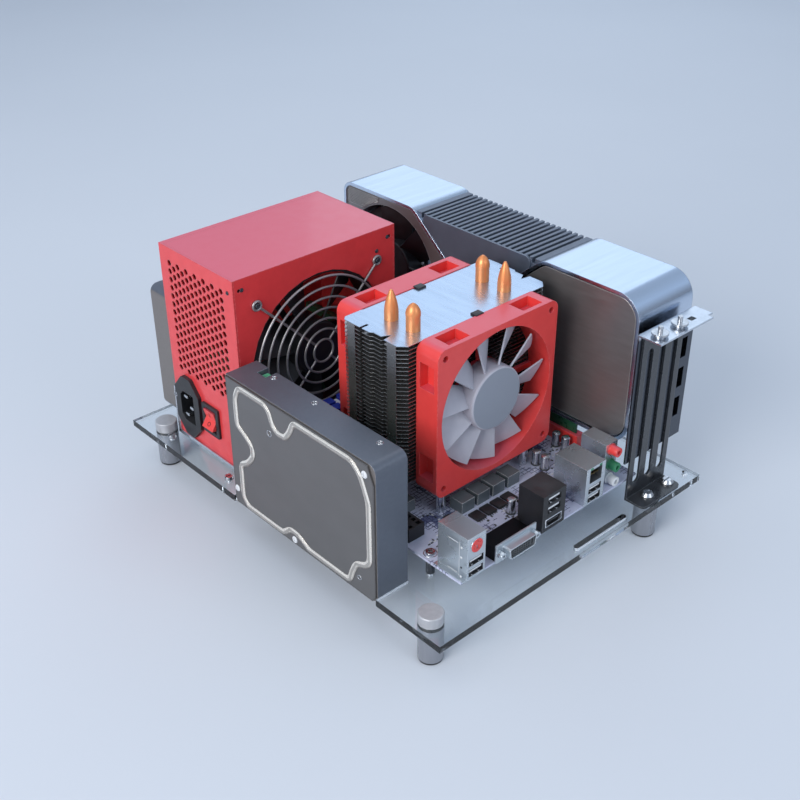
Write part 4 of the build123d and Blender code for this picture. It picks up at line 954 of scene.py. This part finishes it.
rib_path = [
    (132, 97.5), (105, 97.5), (100, 94), (97, 85), (92, 81.5), (84, 82), (79, 89), (75, 97.5), (20, 97.5),
    (12, 90), (5.5, 74), (5.5, 30), (9, 25.5), (18, 22), (22, 14), (25, 4.5), (66, 4.5), (76, 10.5),
    (85, 10.5), (92, 3.6), (132, 3.6), (137, 10), (136.5, 36), (128, 41), (121.5, 49), (121.5, 57),
    (129, 62.5), (137, 67), (137, 88),
]
bead_half_width = 2.4
bead_height = 0.88
bead_bend = 4.5


def rounded_path(corners, bend, steps=5):
    """A closed path with each corner replaced by a short arc."""
    path = []
    for number, corner in enumerate(corners):
        middle = Vector(corner)
        ends = []
        for other in (corners[number - 1], corners[(number + 1) % len(corners)]):
            away = Vector(other) - middle
            ends.append(middle + away.normalized() * min(bend, away.length * 0.48))
        for step in range(steps):
            t = step / (steps - 1)
            path.append(ends[0] * (1 - t) ** 2 + middle * 2 * t * (1 - t) + ends[1] * t ** 2)
    return path


def build_cover_ribs():
    """The rounded shoulders of the pressed rib: one bead along its path, copied for the second drive."""
    path = rounded_path(rib_path, bead_bend)
    deselect()
    bpy.ops.mesh.primitive_plane_add(size=0.001, location=(0, 0, 0))
    bead = bpy.context.active_object
    bpy.ops.object.mode_set(mode="EDIT")
    bpy.ops.mesh.select_mode(type="VERT")
    bpy.ops.mesh.select_all(action="SELECT")
    bpy.ops.mesh.merge(type="CENTER")
    bpy.ops.transform.translate(value=(0, path[0][0] * MM, path[0][1] * MM))
    for before, after in zip(path, path[1:]):
        step = (after - before) * MM
        bpy.ops.mesh.extrude_region_move(TRANSFORM_OT_translate={"value": (0, step[0], step[1])})
    bpy.ops.mesh.select_all(action="DESELECT")
    bpy.ops.object.mode_set(mode="OBJECT")
    bead.data.vertices[0].select = True
    bead.data.vertices[len(path) - 1].select = True
    bpy.ops.object.mode_set(mode="EDIT")
    bpy.ops.mesh.edge_face_add()
    bpy.ops.object.mode_set(mode="OBJECT")
    bpy.ops.object.convert(target="CURVE")
    bead = bpy.context.active_object
    bead.data.bevel_depth = bead_half_width * MM
    bead.data.bevel_resolution = 3
    bpy.ops.object.convert(target="MESH")
    bead = bpy.context.active_object
    bead.scale = (bead_height / bead_half_width, 1, 1)
    settle(bead)
    for name, place in drive_frames.items():
        copy = bead.copy()
        copy.data = bead.data.copy()
        bpy.context.collection.objects.link(copy)
        copy.data.transform(place)
        finish_piece([copy], name + "_cover_ribs", rib_steel, smooth=60)
    bpy.data.objects.remove(bead)


keyboard_block_left = -89.3


def build_board_trim():
    """Power transistors and their leads, marks on the keyboard socket, and pale memory labels."""
    tops, leads = [], []
    for x in (-37.0, -27.0, -17.0, -7.0):
        tops.append(block((x - 4.1, -113.6, 44.1), (x + 4.1, -104.4, 45.75), 0.25))
        for step in range(4):
            along = x - 2.7 + step * 1.8
            leads.append(block((along - 0.45, -115.0, part_foot), (along + 0.45, -113.3, 44.6), 0.12))
    finish_piece(tops, "transistor_tops", black_plastic)
    finish_piece(leads, "transistor_leads", bright_steel)
    left = keyboard_block_left
    punched = [block((left - 0.12, -146.6, z), (left + 0.2, -145.2, z + 1.5), 0.1, 1)
               for z in (67.6, 60.2, 45.6)]
    punched += [block((left - 0.12, -143.0, z), (left + 0.2, -134.5, z + 0.3), 0.05, 1)
                for z in (70.4, 47.8)]
    punched += [block((left - 0.1, -144.3, 46.0), (left + 0.2, -144.05, 72.0), 0.05, 1)]
    finish_piece(punched, "keyboard_block_marks", white_plastic)
    pale = []
    for y in (8.0, 17.0):
        for step in range(9):
            notch = -53.0 + step * 13.0
            pale.append(block((notch + 0.15, y - 3.3, 79.9), (notch + 5.85, y + 3.3, 80.8), 0.2, 1))
    finish_piece(pale, "memory_labels", white_plastic)
    window = [block((left - 0.08, -146.5, 52.6), (left + 0.3, -145.3, 54.0), 0.1, 1)]
    finish_piece(window, "keyboard_block_window", black_plastic)


def build_card_trim():
    """Ribbed corner panels of the far fan plate, and the rubber tabs between fans and fins."""
    duct_y, duct_z, duct_radius = 94.0, 120.75, 49.5
    ribs = []
    for side in (-1, 1):
        for step in range(10):
            height = 39.5 + step * 1.3
            inside = height < duct_radius
            left = max(107.0, duct_y + (duct_radius ** 2 - height ** 2) ** 0.5 if inside else 107.0)
            right = 142.6 if height < 49.0 else 141.0
            z = duct_z + side * height
            ribs.append(block((70.25, left, z - 0.35), (71.1, right, z + 0.35), 0.15, 1))
    finish_piece(ribs, "fan_plate_ribs", dark_metal)
    tabs = []
    for y in (-73.9, -21.1):
        tabs.append(block((-10.0, y - 2.7, 167.8), (-3.0, y + 2.7, 169.2), 0.3))
    finish_piece(tabs, "fan_clip_tabs", black_plastic)


build_drive_trim()
build_cover_ribs()
build_board_trim()
build_card_trim()


# Floor, room light and lamps

def build_floor():
    """Plain pale floor, as part of the stage."""
    bpy.ops.object.select_all(action="DESELECT")
    bpy.ops.mesh.primitive_plane_add(size=12.0, location=(0, 0, -0.0002))
    floor = bpy.context.active_object
    floor.name = "floor"
    material = bpy.data.materials.new("pale_floor")
    material.use_nodes = True
    tree = material.node_tree
    shader = tree.nodes["Principled BSDF"]
    shader.inputs["Roughness"].default_value = 0.7
    shader.inputs["Specular IOR Level"].default_value = 0.2
    place = tree.nodes.new("ShaderNodeTexCoord")
    noise = tree.nodes.new("ShaderNodeTexNoise")
    noise.inputs["Scale"].default_value = 3.0
    tree.links.new(place.outputs["Object"], noise.inputs["Vector"])
    tint = mix_colors(material, noise.outputs["Fac"], (0.66, 0.69, 0.74), (0.69, 0.72, 0.77))
    tree.links.new(tint, shader.inputs["Base Color"])
    floor.data.materials.append(material)


def build_room():
    """World light: bright overhead, darker at the sides, so metal has something to mirror."""
    world = bpy.data.worlds.new("room")
    bpy.context.scene.world = world
    world.use_nodes = True
    tree = world.node_tree
    background = tree.nodes["Background"]
    background.inputs["Strength"].default_value = 0.9
    place = tree.nodes.new("ShaderNodeTexCoord")
    split = tree.nodes.new("ShaderNodeSeparateXYZ")
    ramp = tree.nodes.new("ShaderNodeValToRGB")
    ramp.color_ramp.elements[0].position = 0.0
    ramp.color_ramp.elements[0].color = (0.24, 0.26, 0.30, 1)
    ramp.color_ramp.elements[1].position = 1.0
    ramp.color_ramp.elements[1].color = (0.34, 0.40, 0.48, 1)
    for height, color in ((0.22, (0.38, 0.45, 0.56, 1)), (0.46, (0.60, 0.74, 0.95, 1)),
                          (0.70, (0.44, 0.53, 0.66, 1))):
        ramp.color_ramp.elements.new(height).color = color
    tree.links.new(place.outputs["Generated"], split.inputs[0])
    tree.links.new(split.outputs["Z"], ramp.inputs["Fac"])
    tree.links.new(ramp.outputs["Color"], background.inputs["Color"])


def add_lamp(name, place, target, width, height, power, color):
    """A rectangular lamp that faces a target."""
    data = bpy.data.lights.new(name, "AREA")
    data.shape = "RECTANGLE"
    data.size = width
    data.size_y = height
    data.energy = power
    data.color = color
    lamp = bpy.data.objects.new(name, data)
    lamp.location = place
    lamp.rotation_euler = (Vector(target) - Vector(place)).to_track_quat("-Z", "Y").to_euler()
    bpy.context.collection.objects.link(lamp)


build_floor()
build_room()
add_lamp("overhead", (0.1, 0.3, 1.6), (0, 0, 0.1), 1.6, 1.2, 5.0, (0.93, 0.96, 1.0))
add_lamp("left", (-2.2, -0.35, 1.2), (0, 0, 0.1), 1.5, 1.5, 42.0, (1.0, 0.98, 0.96))
add_lamp("front", (0.3, -1.6, 0.8), (0, 0, 0.1), 0.9, 0.9, 4.0, (0.95, 0.97, 1.0))
add_lamp("right_back", (1.3, 1.0, 0.9), (0, 0, 0.1), 1.0, 1.2, 2.6, (0.80, 0.90, 1.0))

bpy.context.scene.view_settings.view_transform = "Standard"
